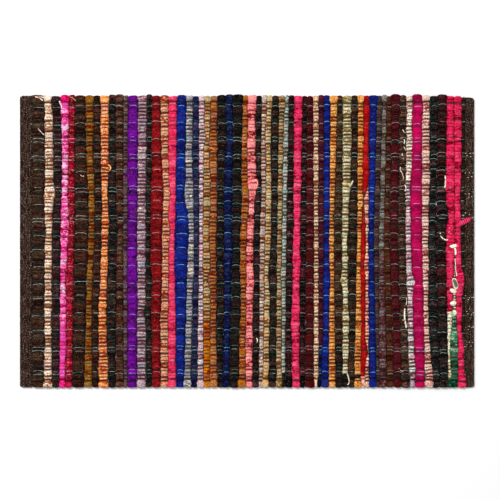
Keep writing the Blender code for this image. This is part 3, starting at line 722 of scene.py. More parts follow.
def bundle_tree(materials):
    """Sweeps a crushed bundle of cloth along each guide line.

    Each guide point gives the bundle's half width, its underside, its crown and the height of
    its widest part, how hard it is pressed on each face, how far it is closed towards an end,
    how far its top bows along +Y, its tone, its hue and its cloth's number.
    """
    tree, given = new_tree("Crushed cloth bundle", {
        "Sides": 12, "Groove": 0.0015, "Pinch": 0.1, **CRUMPLE_INPUTS,
    })
    line = node(tree, "GeometryNodeMeshToCurve", {"Mesh": given.outputs["Geometry"]})
    across = node(tree, "ShaderNodeVectorMath", {
        0: node(tree, "GeometryNodeInputTangent"), 1: (0, 0, 1),
    }, operation="CROSS_PRODUCT")
    for label, value in (("path", node(tree, "GeometryNodeInputPosition")), ("side", across)):
        line = node(tree, "GeometryNodeStoreNamedAttribute", {
            "Geometry": line, "Name": label, "Value": value,
        }, data_type="FLOAT_VECTOR")
    circle = node(tree, "GeometryNodeCurvePrimitiveCircle", {
        "Resolution": given.outputs["Sides"], "Radius": 0.005,
    })
    ring = node(tree, "GeometryNodeStoreNamedAttribute", {
        "Geometry": circle, "Name": "around",
        "Value": node(tree, "GeometryNodeSplineParameter").outputs["Factor"],
    }, data_type="FLOAT")
    tube = node(tree, "GeometryNodeCurveToMesh", {
        "Curve": line, "Profile Curve": ring, "Fill Caps": True,
    })
    known = {label: given.outputs[label] for label in ("Groove", "Pinch")}
    for kind, labels in (
        ("FLOAT_VECTOR", "path side"),
        ("FLOAT", "half base middle crown press_top press_under close bow around"),
    ):
        for label in labels.split():
            read = node(tree, "GeometryNodeInputNamedAttribute", {"Name": label}, data_type=kind)
            known[label] = read.outputs[0]
    for name, operation, *parts in (
        # the section: a boxy ellipse, flat below and round above
        ("angle", "MULTIPLY", "around", -2 * math.pi),
        ("cosine", "COSINE", "angle"),
        ("sine", "SINE", "angle"),
        ("aside", "ABSOLUTE", "cosine"),
        ("edge", "POWER", "aside", SECTION_SIDE),
        ("hand", "SIGN", "cosine"),
        ("sideways", "MULTIPLY", "edge", "hand"),
        ("upwards", "MAXIMUM", "sine", 0.0),
        ("above", "POWER", "upwards", SECTION_TOP),
        ("turned", "MULTIPLY", "sine", -1.0),
        ("downwards", "MAXIMUM", "turned", 0.0),
        ("below", "POWER", "downwards", SECTION_BOTTOM),
        # its height above and below the widest part
        ("full top", "SUBTRACT", "crown", "middle"),
        ("top groove", "MULTIPLY", "press_top", "Groove"),
        ("top", "SUBTRACT", "full top", "top groove"),
        ("full bottom", "SUBTRACT", "middle", "base"),
        ("bottom groove", "MULTIPLY", "press_under", "Groove"),
        ("bottom", "SUBTRACT", "full bottom", "bottom groove"),
        ("rise", "MULTIPLY", "top", "above"),
        ("fall", "MULTIPLY", "bottom", "below"),
        ("height", "SUBTRACT", "rise", "fall"),
        ("lift", "MULTIPLY_ADD", "height", "close", "middle"),
        # its width, narrowed where a warp crosses on either face
        ("presses", "ADD", "press_top", "press_under"),
        ("pinched", "MULTIPLY", "presses", "Pinch"),
        ("kept", "SUBTRACT", 1.0, "pinched"),
        ("width", "MULTIPLY", "half", "kept"),
        ("reach", "MULTIPLY", "width", "close"),
        ("out", "MULTIPLY", "reach", "sideways"),
        # how far its top bows along +Y
        ("drop", "POWER", "edge", BOW_FLATNESS),
        ("arc", "SUBTRACT", 1.0, "drop"),
        ("arched", "MULTIPLY", "arc", "above"),
        ("bowed", "MULTIPLY", "arched", "bow"),
        # how deep a point lies in a groove
        ("groove above", "MULTIPLY", "press_top", "above"),
        ("groove below", "MULTIPLY", "press_under", "below"),
        ("groove", "ADD", "groove above", "groove below"),
    ):
        values = {place: known.get(part, part) for place, part in enumerate(parts)}
        known[name] = node(tree, "ShaderNodeMath", values, operation=operation).outputs[0]
    out = node(tree, "ShaderNodeVectorMath", {0: known["side"], "Scale": known["out"]}, operation="SCALE")
    beside = node(tree, "ShaderNodeVectorMath", {0: known["path"], 1: out}, operation="ADD")
    place = node(tree, "ShaderNodeVectorMath", {
        0: beside, 1: node(tree, "ShaderNodeCombineXYZ", {"Y": known["bowed"], "Z": known["lift"]}),
    }, operation="ADD")
    shaped = node(tree, "GeometryNodeSetPosition", {
        "Geometry": tube, "Position": crumple(tree, given, place, 0.0),
    })
    # where the cloth is in shade whatever the light: in its grooves and down its sides
    for label in ("groove", "edge"):
        shaped = node(tree, "GeometryNodeStoreNamedAttribute", {
            "Geometry": shaped, "Name": label, "Value": known[label],
        }, data_type="FLOAT")
    return finish_tree(tree, shaped, materials)


def thread_tree(materials):
    """Sweeps a yarn along each guide line, following the folds of the cloth it lies on."""
    tree, given = new_tree("Warp thread", {"Width": 0.001, **CRUMPLE_INPUTS})
    line = node(tree, "GeometryNodeMeshToCurve", {"Mesh": given.outputs["Geometry"]})
    upright = node(tree, "GeometryNodeSetCurveNormal", {"Curve": line}, mode="Z_UP")
    thick = node(tree, "GeometryNodeInputNamedAttribute", {"Name": "thick"}, data_type="FLOAT").outputs[0]
    radius = node(tree, "ShaderNodeMath", {0: given.outputs["Width"], 1: 0.5}, operation="MULTIPLY")
    lowest = node(tree, "ShaderNodeMath", {0: radius, 1: thick}, operation="MULTIPLY")
    place = crumple(tree, given, node(tree, "GeometryNodeInputPosition").outputs[0], lowest)
    laid = node(tree, "GeometryNodeSetPosition", {"Geometry": upright, "Position": place})
    sized = node(tree, "GeometryNodeSetCurveRadius", {"Curve": laid, "Radius": thick})
    circle = node(tree, "GeometryNodeCurvePrimitiveCircle", {"Resolution": 4, "Radius": radius})
    tube = node(tree, "GeometryNodeCurveToMesh", {
        "Curve": sized, "Profile Curve": circle, "Fill Caps": True,
    })
    return finish_tree(tree, tube, materials)


SHOULDER_START, SHOULDER_GAIN = 0.6, 1.3    # from which press on a shoulder sinks too, and how much
SHOULDER_PRESS = (0.12, 0.75)       # what is left of a light and of a hard press beside the warp
# the free ends past the outermost warps: where each ring lies on the way to the edge, and how far
# it is closed
FREE_STEPS = np.array((0.22, 0.42, 0.62, 0.80, 0.93, 1.0, 1.0))
FREE_CLOSING = np.array((1.0, 1.03, 1.03, 0.97, 0.80, 0.45, 0.10))
FRONT_SLACK, BACK_SLACK = 0.0008, 0.0026    # how far strips' ends may stay back from each edge
PICK_SLACK = 0.0012
CROWN_SWELL = 0.6             # how much of a bead's swelling goes into its height
TAPER_FROM, TAPER_RANGE = 0.0010, 0.0030    # the half widths over which a strip closes to its start
CLOSED = 0.3                  # how far it, or a splice, closes there


def bundle_line(weave, bundle):
    """Guide points and attributes of one bundle.

    A strip has a ring at every warp and one on each shoulder of a groove on its top. A
    pick has a ring at every warp. Both end in a short free end past the outermost warps.
    """
    pick = bundle not in STRIP_BUNDLES
    threads = np.arange(weave.ends)
    over = weave.over(bundle, threads)
    rough_x, = weave.at(("centre",), bundle, weave.first_y + threads * weave.pitch)
    warp_y = weave.end_y(threads, rough_x)
    force = weave.press[bundle]
    tone, swell, hue = weave.tone[bundle], weave.swell[bundle], weave.hue[bundle]
    between = (hue[1:] + np.concatenate([hue[:1], hue[:-2]])) / 2
    rows = [(
        warp_y, np.where(over, force, 0.0), np.where(over, 0.0, force), tone[:-1],
        np.where(over, 0.0, swell[:-1]), np.where(over, between, hue[:-1]),
    )]
    if not pick:
        reach = weave.settings.groove_reach
        shoulder = SHOULDER_GAIN * (force[over] - SHOULDER_START)
        shoulder = np.clip(shoulder, *SHOULDER_PRESS) * force[over]
        for side in (-1, 1):
            near = np.clip(threads[over] + side, 0, weave.ends)
            rows.append((
                warp_y[over] + side * reach, shoulder, np.zeros(over.sum()),
                tone[near], swell[near], hue[near],
            ))
    order = np.argsort(np.concatenate([row[0] for row in rows]))
    y, top, under, tone, swell, hue = (np.concatenate(column)[order] for column in zip(*rows))
    # the free ends, rounded off
    edge = RUG_WIDTH / 2
    rounded = weave.corner(rough_x[0])
    front = edge - weave.rng.uniform(0.0, FRONT_SLACK) - rounded
    slack = weave.rng.uniform(0.0, BACK_SLACK)
    if bundle - PICKS in PROUD_ENDS:
        back = edge + PROUD_ENDS[bundle - PICKS] * MM
    else:
        back = edge - (PICK_SLACK if pick else slack) - weave.drawn_in(rough_x[-1]) - rounded
    y = np.concatenate([y[0] - (front + y[0]) * FREE_STEPS[::-1], y, y[-1] + (back - y[-1]) * FREE_STEPS])
    close = np.concatenate([FREE_CLOSING[::-1], np.ones(len(top)), FREE_CLOSING])
    free = len(FREE_STEPS)
    tone, hue = (np.pad(values, free, "edge") for values in (tone, hue))
    top, under, swell = (np.pad(values, free) for values in (top, under, swell))
    centre, half, crown, middle, bow = weave.at(SHAPE, bundle, y)
    half = half * (1 + swell)
    # a strip that starts on the way is tapered to its start
    there = (half > NARROWEST) | pick
    if not there.all():
        close = close * np.clip((half - TAPER_FROM) / TAPER_RANGE, CLOSED, 1)
    values = {
        "half": half, "crown": crown * (1 + CROWN_SWELL * swell), "middle": middle, "bow": bow,
        "base": np.zeros(len(y)), "press_top": top, "press_under": under, "close": close,
        "tone": tone, "hue": hue,
    }
    points = np.stack([centre, y, np.zeros(len(y))], 1)
    return points[there], {key: value[there] for key, value in values.items()}


def stretches(bundle, y):
    """Each stretch of a bundle's rings between its splices: its cloth, its rings, how far they close."""
    if bundle not in STRIP_BUNDLES:
        yield HEADING_CLOTH, np.ones(len(y), bool), np.ones(len(y))
        return
    strip = bundle - PICKS
    cloth, back = STRIPS[strip][0], np.inf
    for below_mm, following in (*SPLICES.get(strip, ()), (-np.inf, None)):
        front = below_mm * MM
        rings = (y < back + SPLICE_LAP) & (y > front - SPLICE_LAP)
        if rings.sum() > 1:
            inside = np.minimum(back + SPLICE_LAP - y[rings], y[rings] - front + SPLICE_LAP)
            yield cloth, rings, np.clip(inside / SPLICE_LAP, CLOSED, 1.0)
        cloth, back = following, front


TIP = 0.25                    # how far a loose end closes at its tips
LOOSE_TONE = 1.4              # painted light: it is drawn light, because nothing shades it
RIB_PINCH, RIB_PRESS, RIB_SHADE = 0.14, 0.6, 1.6      # and between the ribs narrower, lower and darker with painted shade


def loose_line(loose, step_mm, high_mm, ribbed=0.0):
    """Guide points and attributes of one loose end: a smooth route, thinner towards both tips."""
    route = np.array(loose.route, float)
    along = np.concatenate([[0], np.cumsum(np.linalg.norm(np.diff(route, axis=0), axis=1))])
    count = max(round(along[-1] / step_mm), 6)
    at = np.linspace(0, along[-1], count + 1)
    xy = np.stack([np.interp(at, along, column) for column in route.T], 1)
    for _ in range(2):
        xy[1:-1] = (xy[:-2] + 2 * xy[1:-1] + xy[2:]) / 4
    tip = np.minimum(at, at[-1] - at) / (0.5 * loose.wide_mm)
    rib = np.where(np.arange(count + 1) % 2, 0.0, 1.0) * ribbed
    low, high = loose.low_mm * MM, (loose.low_mm + high_mm) * MM
    flat = np.zeros(count + 1)
    return np.column_stack([xy * MM, flat]), {
        "half": (1 - RIB_PINCH * rib) * loose.wide_mm / 2 * MM, "base": flat + low, "crown": flat + high,
        "middle": flat + (low + high) / 2, "bow": flat, "press_top": RIB_PRESS * rib, "press_under": flat,
        "close": np.clip(TIP + (1 - TIP) * np.sqrt(np.clip(tip, 0, 1)), TIP, 1),
        # painted light on a loose end, and painted shade between the ribs
        "tone": LOOSE_TONE - RIB_SHADE * rib, "hue": flat,
        "cloth": np.full(count + 1, CLOTH_NUMBERS[loose.cloth]),
    }


OVER_AT = np.array((-0.80, -0.45, 0.0, 0.45, 0.80))      # guide points over a strip, in half widths
OVER_SIZES = np.array((0.50, 0.88, 1.02, 0.88, 0.50))    # it shows less where it dips beside the strip
UNDER_AT, UNDER_SIZE = np.array((-0.5, 0.5)), 0.8
# how high a warp's middle lies, in yarn radii: over its groove, what standing proud adds to that,
# how deep it lies in the groove below a strip, and how low it can get there
OVER_LIFT, PROUD_LIFT, UNDER_SINK, UNDER_LEAST = 0.25, 0.55, 0.3, 1.05


def thread_line(weave, thread, radius, proud, size):
    """Guide points of one warp over and under every bundle, how thick it is and which bundle it crosses.

    proud is how far the yarn stands out of its groove at each bundle: -1 is sunk, 1 lies
    on top. size is how thick it is there, as a share of the usual.
    """
    y0 = weave.first_y + thread * weave.pitch
    rows = []
    for bundle in range(BUNDLES):
        pick = bundle not in STRIP_BUNDLES
        centre, half, crown, middle, bow = weave.at(SHAPE, bundle, y0)
        if half < NARROWEST and not pick:
            continue
        over = weave.over(bundle, thread)
        force = weave.press[bundle, thread] * weave.settings.groove
        places = np.zeros(1) if pick else (OVER_AT if over else UNDER_AT)
        sizes = size[bundle] * OVER_SIZES if over and not pick else np.full(len(places), UNDER_SIZE)
        x = centre + places * half * (1 - weave.settings.pinch)
        if over:
            above = np.sqrt(1 - (np.abs(places) ** (1 / SECTION_SIDE)) ** 2) ** SECTION_TOP
            z = middle + (crown - middle - force) * above
            z = z + radius * (OVER_LIFT + PROUD_LIFT * proud[bundle])
            y_bow = bow * above * (1 - np.abs(places) ** BOW_FLATNESS)
        else:
            z = np.full(len(places), max(force - radius * UNDER_SINK, radius * UNDER_LEAST))
            y_bow = 0.0
        points = np.stack([x, weave.end_y(thread, x) + y_bow, z], 1)
        rows.append((points, sizes, np.full(len(x), bundle)))
    return tuple(np.concatenate(column) for column in zip(*rows))


# ---------------------------------------------------------------- materials

MEAN_TONE = 0.46              # where on the way from shadow to light most of a cloth lies
GROOVE_SHADE = (0.12, 0.75)   # the press at which a groove begins to darken, and is full dark
SHADE = 0.23                  # how light the shade in the folds is, where light gets by way of the cloth
LINT = "#7a5f60"              # pale fibres caught on the dark cloths


def mixed(one, other, share):
    """Two linear colours mixed, with a share of the other."""
    return tuple(a + (b - a) * share for a, b in zip(one, other))


def laid_over(tree, ground, layers):
    """Lay colours over a ground, one after another.

    A layer has its colour, the value that brings it out, where on that value it begins and
    where it is full, and how much of it there is then.
    """
    for colour, value, begins, full, most in layers:
        share = node(tree, "ShaderNodeMapRange", {
            "Value": value, "From Min": begins, "From Max": full, "To Max": most,
        })
        ground = node(tree, "ShaderNodeMix", {
            "Factor": share, 6: ground, 7: colour,
        }, data_type="RGBA").outputs[2]
    return ground


def weighed(tree, total, parts):
    """A start plus each part times its weight."""
    for part, weight in parts:
        total = node(tree, "ShaderNodeMath", {0: part, 1: weight, 2: total}, operation="MULTIPLY_ADD")
    return total


def new_material(name, roughness, specular):
    """A new dull material, with its tree."""
    material = bpy.data.materials.new(name)
    material.use_nodes = True
    shader = material.node_tree.nodes["Principled BSDF"]
    shader.inputs["Roughness"].default_value = roughness
    shader.inputs["Specular IOR Level"].default_value = specular
    return material, material.node_tree


def paint(tree, colour, height=None, strength=0.0, distance=0.0):
    """Give a material's shader its colour, and its bumps where they have a height."""
    shader = tree.nodes["Principled BSDF"]
    tree.links.new(colour, shader.inputs["Base Color"])
    if height is not None:
        bump = node(tree, "ShaderNodeBump", {"Height": height, "Strength": strength, "Distance": distance})
        tree.links.new(bump.outputs["Normal"], shader.inputs["Normal"])


def torn_cotton(name):
    """Torn cotton, crushed into a bundle: dull lumps and folds, dark where they meet."""
    cloth = CLOTHS[name]
    rough, dark, number = cloth.rough, is_dark(name), CLOTH_NUMBERS[name]
    material, tree = new_material(f"torn cotton, {name}", 0.92, 0.05)
    # each cloth has its own part of the pattern
    placed = node(tree, "ShaderNodeMapping", {
        "Vector": node(tree, "ShaderNodeTexCoord").outputs["Object"],
        "Location": (number * 0.37, number * 0.11, 0.0),
    })
    warped, stretch, dots = (
        node(tree, "ShaderNodeTexNoise", {"Vector": placed, "Scale": scale, "Detail": 1.0})
        for scale in (300.0, 1000 / cloth.turn_mm, 360.0)
    )
    # lumps of cloth about 5 mm across the strip and 3.5 mm along it
    wavy = node(tree, "ShaderNodeVectorMath", {
        0: warped.outputs[1], 1: (0.0022, 0.0022, 0.0022), 2: placed,
    }, operation="MULTIPLY_ADD")
    stretched = node(tree, "ShaderNodeMapping", {"Vector": wavy, "Scale": (200.0, 290.0, 200.0)})
    lump, seam = (
        node(tree, "ShaderNodeTexVoronoi", {"Vector": stretched, "Scale": 1.0}, feature=feature)
        for feature in ("F1", "DISTANCE_TO_EDGE")
    )
    chance = node(tree, "ShaderNodeSeparateColor", {0: lump.outputs["Color"]})
    # folds across the strip, about 2.5 mm apart, and creases 2 mm across
    across = node(tree, "ShaderNodeMapping", {"Vector": placed, "Scale": (90.0, 400.0, 90.0)})
    pleat = node(tree, "ShaderNodeTexNoise", {"Vector": across, "Scale": 1.0, "Detail": 1.0})
    crease = node(tree, "ShaderNodeTexNoise", {
        "Vector": placed, "Scale": 480.0, "Detail": 2.0, "Roughness": 0.7,
    })
    bead, hue, edge, groove = (
        node(tree, "ShaderNodeAttribute", attribute_name=label).outputs["Fac"]
        for label in ("tone", "hue", "edge", "groove")
    )
    # a dark cloth shows few long folds, and more of the fine mottle. The tone is partly random,
    # from lump to lump and bead to bead, and partly painted shade and light: darker where the
    # folds and creases sink, lighter where they stand up, and darker towards the sides
    folds, lumps = 0.5 * rough, 0.4 * rough
    mottle_and_crease_shade = (1.5 if dark else 0.6) * (0.35 + 0.65 * rough)
    tone = weighed(tree, MEAN_TONE - (folds + mottle_and_crease_shade + lumps) / 2, (
        (pleat, folds), (crease, mottle_and_crease_shade), (chance.outputs[0], lumps), (bead, 0.20), (edge, -0.06),
    ))
    # stretches, and single lumps, turn to another colour
    turning = weighed(tree, stretch, ((chance.outputs[1], 0.12), (hue, 0.20)))
    turns = [(linear(cloth.turn), turning, 0.60, 0.68, 1.0)]
    if cloth.accent:
        turns.append((linear(cloth.accent), turning, 0.50, 0.44, 1.0))
    body = laid_over(tree, linear(cloth.body), turns)
    dot = node(tree, "ShaderNodeSeparateColor", {0: dots.outputs[1]})
    # its own colours from dark to light, its flecks or its lint, and the shade in its folds:
    # down the sides, in the grooves and where lumps meet
    deep = linear(cloth.deep)[:3]
    shadow = tuple(SHADE * part * part / max(deep) for part in deep) + (1.0,)
    layers = [
        (linear(cloth.deep), tone, 0.12, 0.26, 1.0),
        (body, tone, 0.26, 0.42, 1.0),
        (linear(cloth.light), tone, 0.46, 0.74, 0.9),
    ]
    if cloth.fleck:
        first = 0.70 - 0.6 * cloth.fleck_share
        layers.append((linear(cloth.fleck), dot.outputs[0], first, first + 0.05, 0.85))
    if dark:
        lint = mixed(linear(LINT), linear(cloth.light), 0.6)
        layers.append((lint, dot.outputs[1], 0.64, 0.70, 0.5))
    paint(tree, laid_over(tree, shadow, (
        *layers,
        (shadow, weighed(tree, edge, ((crease, 0.5),)), 1.00, 1.40, 0.80),
        (shadow, groove, *GROOVE_SHADE, 0.35 + 0.62 * rough),
        (shadow, seam, 0.13, 0.0, 0.85 * rough),
    )), weighed(tree, crease, ((pleat, 1.5), (seam, 2.0))), 0.8, 0.0008)
    return material


def heading_yarn(name):
    """Spun cotton weft, beaten close: fine lines along the picks, with pale specks of fluff."""
    cloth = CLOTHS[name]
    material, tree = new_material(f"heading yarn, {name}", 0.92, 0.05)
    spot = node(tree, "ShaderNodeTexCoord").outputs["Object"]
    # lines 2.5 mm apart along Y, drawn as coarse as they need to show, and specks 2.5 mm across
    along = node(tree, "ShaderNodeMapping", {"Vector": spot, "Scale": (400.0, 55.0, 200.0)})
    lines = node(tree, "ShaderNodeTexNoise", {"Vector": along, "Scale": 1.0, "Detail": 1.0})
    specks = node(tree, "ShaderNodeTexNoise", {"Vector": spot, "Scale": 400.0, "Detail": 1.0})
    speck = node(tree, "ShaderNodeSeparateColor", {0: specks.outputs[1]})
    edge = node(tree, "ShaderNodeAttribute", attribute_name="edge").outputs["Fac"]
    # the tone falls towards the sides of each pick: painted shade
    tone = weighed(tree, -0.28, ((lines, 0.8), (speck.outputs[0], 0.7), (edge, -0.12)))
    paint(tree, laid_over(tree, linear(cloth.deep), (
        (linear(cloth.body), tone, 0.28, 0.44, 1.0),
        (linear(cloth.light), tone, 0.50, 0.70, 1.0),
        (linear(cloth.turn), speck.outputs[1], 0.60, 0.66, 0.6),
        (linear(cloth.fleck), speck.outputs[2], 0.64, 0.70, 0.9),
        # painted shade down the sides of each pick, in its darkest colour
        (linear(cloth.deep), edge, 0.70, 1.0, 0.9),
    )), tone, 0.7, 0.0006)
    return material


def cloth_material(name):
    """The material of a cloth, made when it is first asked for."""
    finish, kind = (heading_yarn, "heading yarn") if name == HEADING_CLOTH else (torn_cotton, "torn cotton")
    return bpy.data.materials.get(f"{kind}, {name}") or finish(name)


def cotton_yarn(name, dark, light):
    """Spun cotton yarn: dull, mottled along its ply."""
    material, tree = new_material(f"cotton yarn, {name}", 0.85, 0.08)
    spot = node(tree, "ShaderNodeTexCoord").outputs["Object"]
    mottle = node(tree, "ShaderNodeTexNoise", {"Vector": spot, "Scale": 180.0, "Detail": 2.0})
    paint(tree, laid_over(tree, dark, ((light, mottle, 0.35, 0.65, 1.0),)))
    return material


# ---------------------------------------------------------------- operators


def sweep_cloth(name, rows, materials, settings, sides, folds):
    """Make one piece of bundles of cloth, with folds of a given height."""
    make_piece(name, rows, bundle_tree(materials), {
        "Sides": sides, "Groove": settings.groove, "Pinch": settings.pinch,
        "Crumple": folds, "Crumple size": settings.crumple_size, "Seed": settings.seed,
    })


def weave_bundles(context, name, bundles, sides, folds):
    """Make one piece of some bundles, each stretch in its own cloth."""
    weave = weave_of(context)
    rows, materials = [], {}
    for bundle in bundles:
        points, values = bundle_line(weave, bundle)
        for cloth, rings, close in stretches(bundle, points[:, 1]):
            number = CLOTH_NUMBERS[cloth]
            if number not in materials:
                materials[number] = cloth_material(cloth)
            row = {key: value[rings] for key, value in values.items()}
            row["close"] = row["close"] * close
            row["cloth"] = np.full(rings.sum(), number)
            rows.append((points[rings], row))
    sweep_cloth(name, rows, materials, weave.settings, sides, folds)


def strip_groups():
    """The strips' bundles, shared out among the pieces."""
    return np.array_split(np.array(STRIP_BUNDLES), STRIP_PIECES)


class RUG_OT_strips(bpy.types.Operator):
    """Weave in the strips of torn cloth"""

    bl_idname = "rag_rug.strips"
    bl_label = "Cloth strips"

    def execute(self, context):
        settings = context.scene.rag_rug_weave
        for part, bundles in enumerate(strip_groups(), 1):
            weave_bundles(context, f"cloth_strips_{part}", bundles, settings.sides, settings.crumple)
        return {"FINISHED"}


class RUG_OT_headings(bpy.types.Operator):
    """Weave the fine brown heading at each short end"""

    bl_idname = "rag_rug.headings"
    bl_label = "Headings"

    def execute(self, context):
        settings = context.scene.rag_rug_weave
        for name, picks in (("heading_start", FIRST_PICKS), ("heading_finish", LAST_PICKS)):
            weave_bundles(context, name, picks, settings.pick_sides, settings.pick_crumple)
        return {"FINISHED"}


class RUG_OT_loose(bpy.types.Operator):
    """Lay the loose ends, curls, knots and stray threads on the weave"""

    bl_idname = "rag_rug.loose"
    bl_label = "Loose ends"

    def execute(self, context):
        weave = weave_of(context)
        settings = weave.settings
        rows = [loose_line(loose, LOOSE_STEP_MM, LOOSE_THICKNESS * loose.wide_mm) for loose in LOOSE_ENDS]
        for group in KNOT_GROUPS:
            for at in KNOTS_AT:
                x = at[0] + weave.rng.normal(0, KNOT_STRAY[0])
                y = group + at[1] + weave.rng.normal(0, KNOT_STRAY[1])
                route = [(x + dx, y + dy) for dx, dy in KNOT_ROUTE]
                rows.append(loose_line(Loose(KNOT_CLOTH, KNOT_WIDE, KNOT_LOW, route), KNOT_STEP, KNOT_HIGH))
        rows.append(loose_line(TAIL, TAIL_RIB_MM / 2, TAIL_HIGH_MM, 1.0))
        cloths = sorted({KNOT_CLOTH, *(loose.cloth for loose in (*LOOSE_ENDS, TAIL))})
        materials = {CLOTH_NUMBERS[cloth]: cloth_material(cloth) for cloth in cloths}
        sweep_cloth("loose_ends", rows, materials, settings, settings.pick_sides, settings.pick_crumple)
        return {"FINISHED"}


STAND_GAIN, STAND_START = 1.6, 0.9          # a warp stands out of its groove, -1 to 1, by its press
SMOOTH_SINK = 3.0             # how much deeper it lies in a smooth strip
TEAL_STAND, TEAL_STRAY, TEAL_SUNK = 0.5, (-0.8, 0.6), -0.9      # on dark strips, and between light beads
HEADING_YARNS = 0.6           # the share of heading picks on which a teal warp is of a common yarn
SIZE, STAND_SIZE, SIZE_STRAY = 0.95, 0.15, (0.8, 1.2)           # how thick the yarn looks
SUNK, SUNK_SIZE = -0.5, 0.78  # and where it is sunk deeper than this


class RUG_OT_warps(bpy.types.Operator):
    """Run the cotton warps over and under the strips"""

    bl_idname = "rag_rug.warps"
    bl_label = "Warps"

    def execute(self, context):
        weave, yarn = weave_of(context), context.scene.rag_rug_yarn
        settings, rng = weave.settings, weave.rng
        name, shade, _ = YARNS[TEAL]
        shade, light = linear(shade), (*yarn.teal, 1.0)
        materials = {number: cotton_yarn(plain, linear(one), linear(other))
                     for number, (plain, one, other) in enumerate(YARNS[:TEAL])}
        materials[TEAL] = cotton_yarn(name, shade, light)
        # what a teal warp looks like on each bundle: on a light strip it takes the green yarn as painted
        # shade, and each dark or vivid cloth colours it
        bright = np.full(BUNDLES, TEAL)
        for bundle, (cloth, *_) in zip(STRIP_BUNDLES, STRIPS):
            bright[bundle] = SHADED
            if is_dark(cloth) or cloth in BRIGHT_TINTS:
                number = bright[bundle] = len(YARNS) + CLOTH_NUMBERS[cloth]
                tint = BRIGHT_TINTS.get(cloth)
                materials[number] = cotton_yarn(
                    f"{name} on {cloth}", mixed(shade, linear(CLOTHS[cloth].body), FLUFF),
                    linear(tint) if tint else mixed(light, linear(CLOTHS[cloth].light), FLUFF),
                )
        dark = bright != SHADED
        heading = np.ones(BUNDLES, bool)
        heading[STRIP_BUNDLES] = False
        # the common yarns by chance, and teal where the chart has it, with green beside it
        kinds = rng.choice(len(YARN_SHARES), weave.ends, p=YARN_SHARES)
        for y_mm, ends in TEAL_WARPS.items():
            first = round((y_mm * MM - weave.first_y) / weave.pitch - (ends - 1) / 2)
            kinds[max(first - 1, 0):first + ends + 1] = SHADED
            kinds[max(first, 0):first + ends] = TEAL
        rows = []
        for thread in range(weave.ends):
            stand = np.clip(STAND_GAIN * weave.press[:, thread] - STAND_START, -1, 1)
            kind = np.full(BUNDLES, kinds[thread])
            proud = stand - SMOOTH_SINK * (1 - weave.rough)
            if kinds[thread] == TEAL:
                # it stands out on the dark strips, and is in the shade between light beads
                proud = TEAL_STAND * stand + rng.uniform(*TEAL_STRAY, BUNDLES)
                proud = np.where(dark, proud, TEAL_SUNK)
                kind = bright.copy()
                kind[heading & (rng.random(BUNDLES) < HEADING_YARNS)] = rng.choice(len(YARN_SHARES))
            size = np.where(stand > SUNK, SIZE + STAND_SIZE * stand, SUNK_SIZE)
            size = size * rng.uniform(*SIZE_STRAY, BUNDLES)
            points, sizes, crossed = thread_line(weave, thread, yarn.width / 2, proud, size)
            rows.append((points, {"thick": sizes, "cloth": kind[crossed]}))
        half = weave.ends // 2
        for piece, part in (("warps_front", rows[:half]), ("warps_back", rows[half:])):
            make_piece(piece, part, thread_tree(materials), {
                "Width": yarn.width, "Crumple": settings.crumple, "Crumple size": settings.crumple_size,
                "Seed": settings.seed,
            })
        return {"FINISHED"}


class RUG_OT_sheet(bpy.types.Operator):
    """Work out the plan of the weave, which the other steps share"""

    bl_idname = "rag_rug.sheet"
    bl_label = "Flat sizes"

    def execute(self, context):
        weave = weave_of(context)
        return {"FINISHED"}


FLOOR_HALF, FLOOR_Z = 6.0, -0.0004
LAMP_AT, LAMP_WIDTH = (-1.8, 2.2, 4.2), 2.2
SENSOR_MM, RUG_FACE_Z = 36.0, 0.006         # the view's side is measured at the rug's face


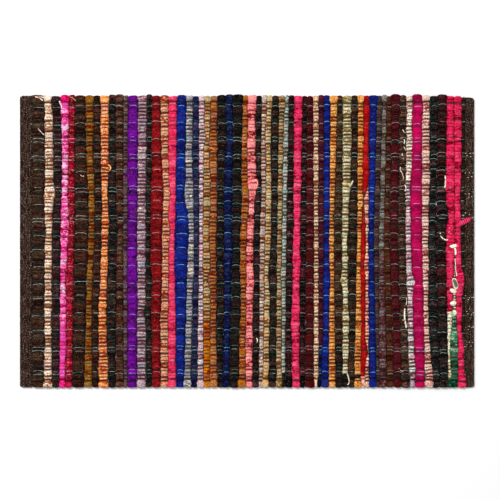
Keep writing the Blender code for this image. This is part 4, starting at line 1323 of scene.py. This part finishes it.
class RUG_OT_stage(bpy.types.Operator):
    """Lay the floor and set the light and the camera"""

    bl_idname = "rag_rug.stage"
    bl_label = "Stage"

    def execute(self, context):
        scene = context.scene
        stage = scene.rag_rug_stage
        mesh = bpy.data.meshes.new("floor")
        corners = ((-1, -1), (1, -1), (1, 1), (-1, 1))
        mesh.from_pydata([(x * FLOOR_HALF, y * FLOOR_HALF, FLOOR_Z) for x, y in corners], [], [(0, 1, 2, 3)])
        board, tree = new_material("matt white board", 0.9, 0.0)
        tree.nodes["Principled BSDF"].inputs["Base Color"].default_value = (*stage.floor, 1.0)
        mesh.materials.append(board)
        floor = put("floor", mesh)
        scene.world = bpy.data.worlds.new("studio")
        scene.world.use_nodes = True
        sky = scene.world.node_tree.nodes["Background"].inputs
        sky["Color"].default_value = (1, 1, 1, 1)
        sky["Strength"].default_value = stage.fill
        lamp = bpy.data.lights.new("key", "AREA")
        lamp.shape = "DISK"
        lamp.size = LAMP_WIDTH
        lamp.energy = stage.key_power
        key = put("key", lamp, LAMP_AT)
        key.rotation_mode = "QUATERNION"
        key.rotation_quaternion = (-Vector(LAMP_AT)).to_track_quat("-Z", "Y")
        data = bpy.data.cameras.new("camera")
        data.sensor_width = SENSOR_MM
        data.lens = SENSOR_MM / stage.view_side * (stage.camera_height - RUG_FACE_Z)
        scene.camera = put("camera", data, (stage.view_x, stage.view_y, stage.camera_height))
        scene.view_settings.view_transform = "Standard"
        scene.view_settings.look = "None"
        return {"FINISHED"}


class RUG_PT_panel(bpy.types.Panel):
    """The steps that make the rug, in order"""

    bl_label = "Rag rug"
    bl_space_type = "VIEW_3D"
    bl_region_type = "UI"
    bl_category = "Rag rug"

    def draw(self, context):
        for step in STEPS:
            self.layout.operator(step.bl_idname)


STEPS = (RUG_OT_strips, RUG_OT_headings, RUG_OT_loose, RUG_OT_warps, RUG_OT_sheet, RUG_OT_stage)
SETTINGS = {
    "rag_rug_weave": WeaveSettings, "rag_rug_yarn": YarnSettings, "rag_rug_stage": StageSettings,
}
CLASSES = (*SETTINGS.values(), *STEPS, RUG_PT_panel)


def register():
    """Register the classes and hang the settings on the scene."""
    for item in CLASSES:
        bpy.utils.register_class(item)
    for name, group in SETTINGS.items():
        setattr(bpy.types.Scene, name, PointerProperty(type=group))


def unregister():
    """Take the settings and the classes away again."""
    for name in SETTINGS:
        delattr(bpy.types.Scene, name)
    for item in reversed(CLASSES):
        bpy.utils.unregister_class(item)


def main():
    """Make everything in order."""
    register()
    for step in STEPS:
        group, name = step.bl_idname.split(".")
        getattr(getattr(bpy.ops, group), name)()


if __name__ == "__main__":
    main()
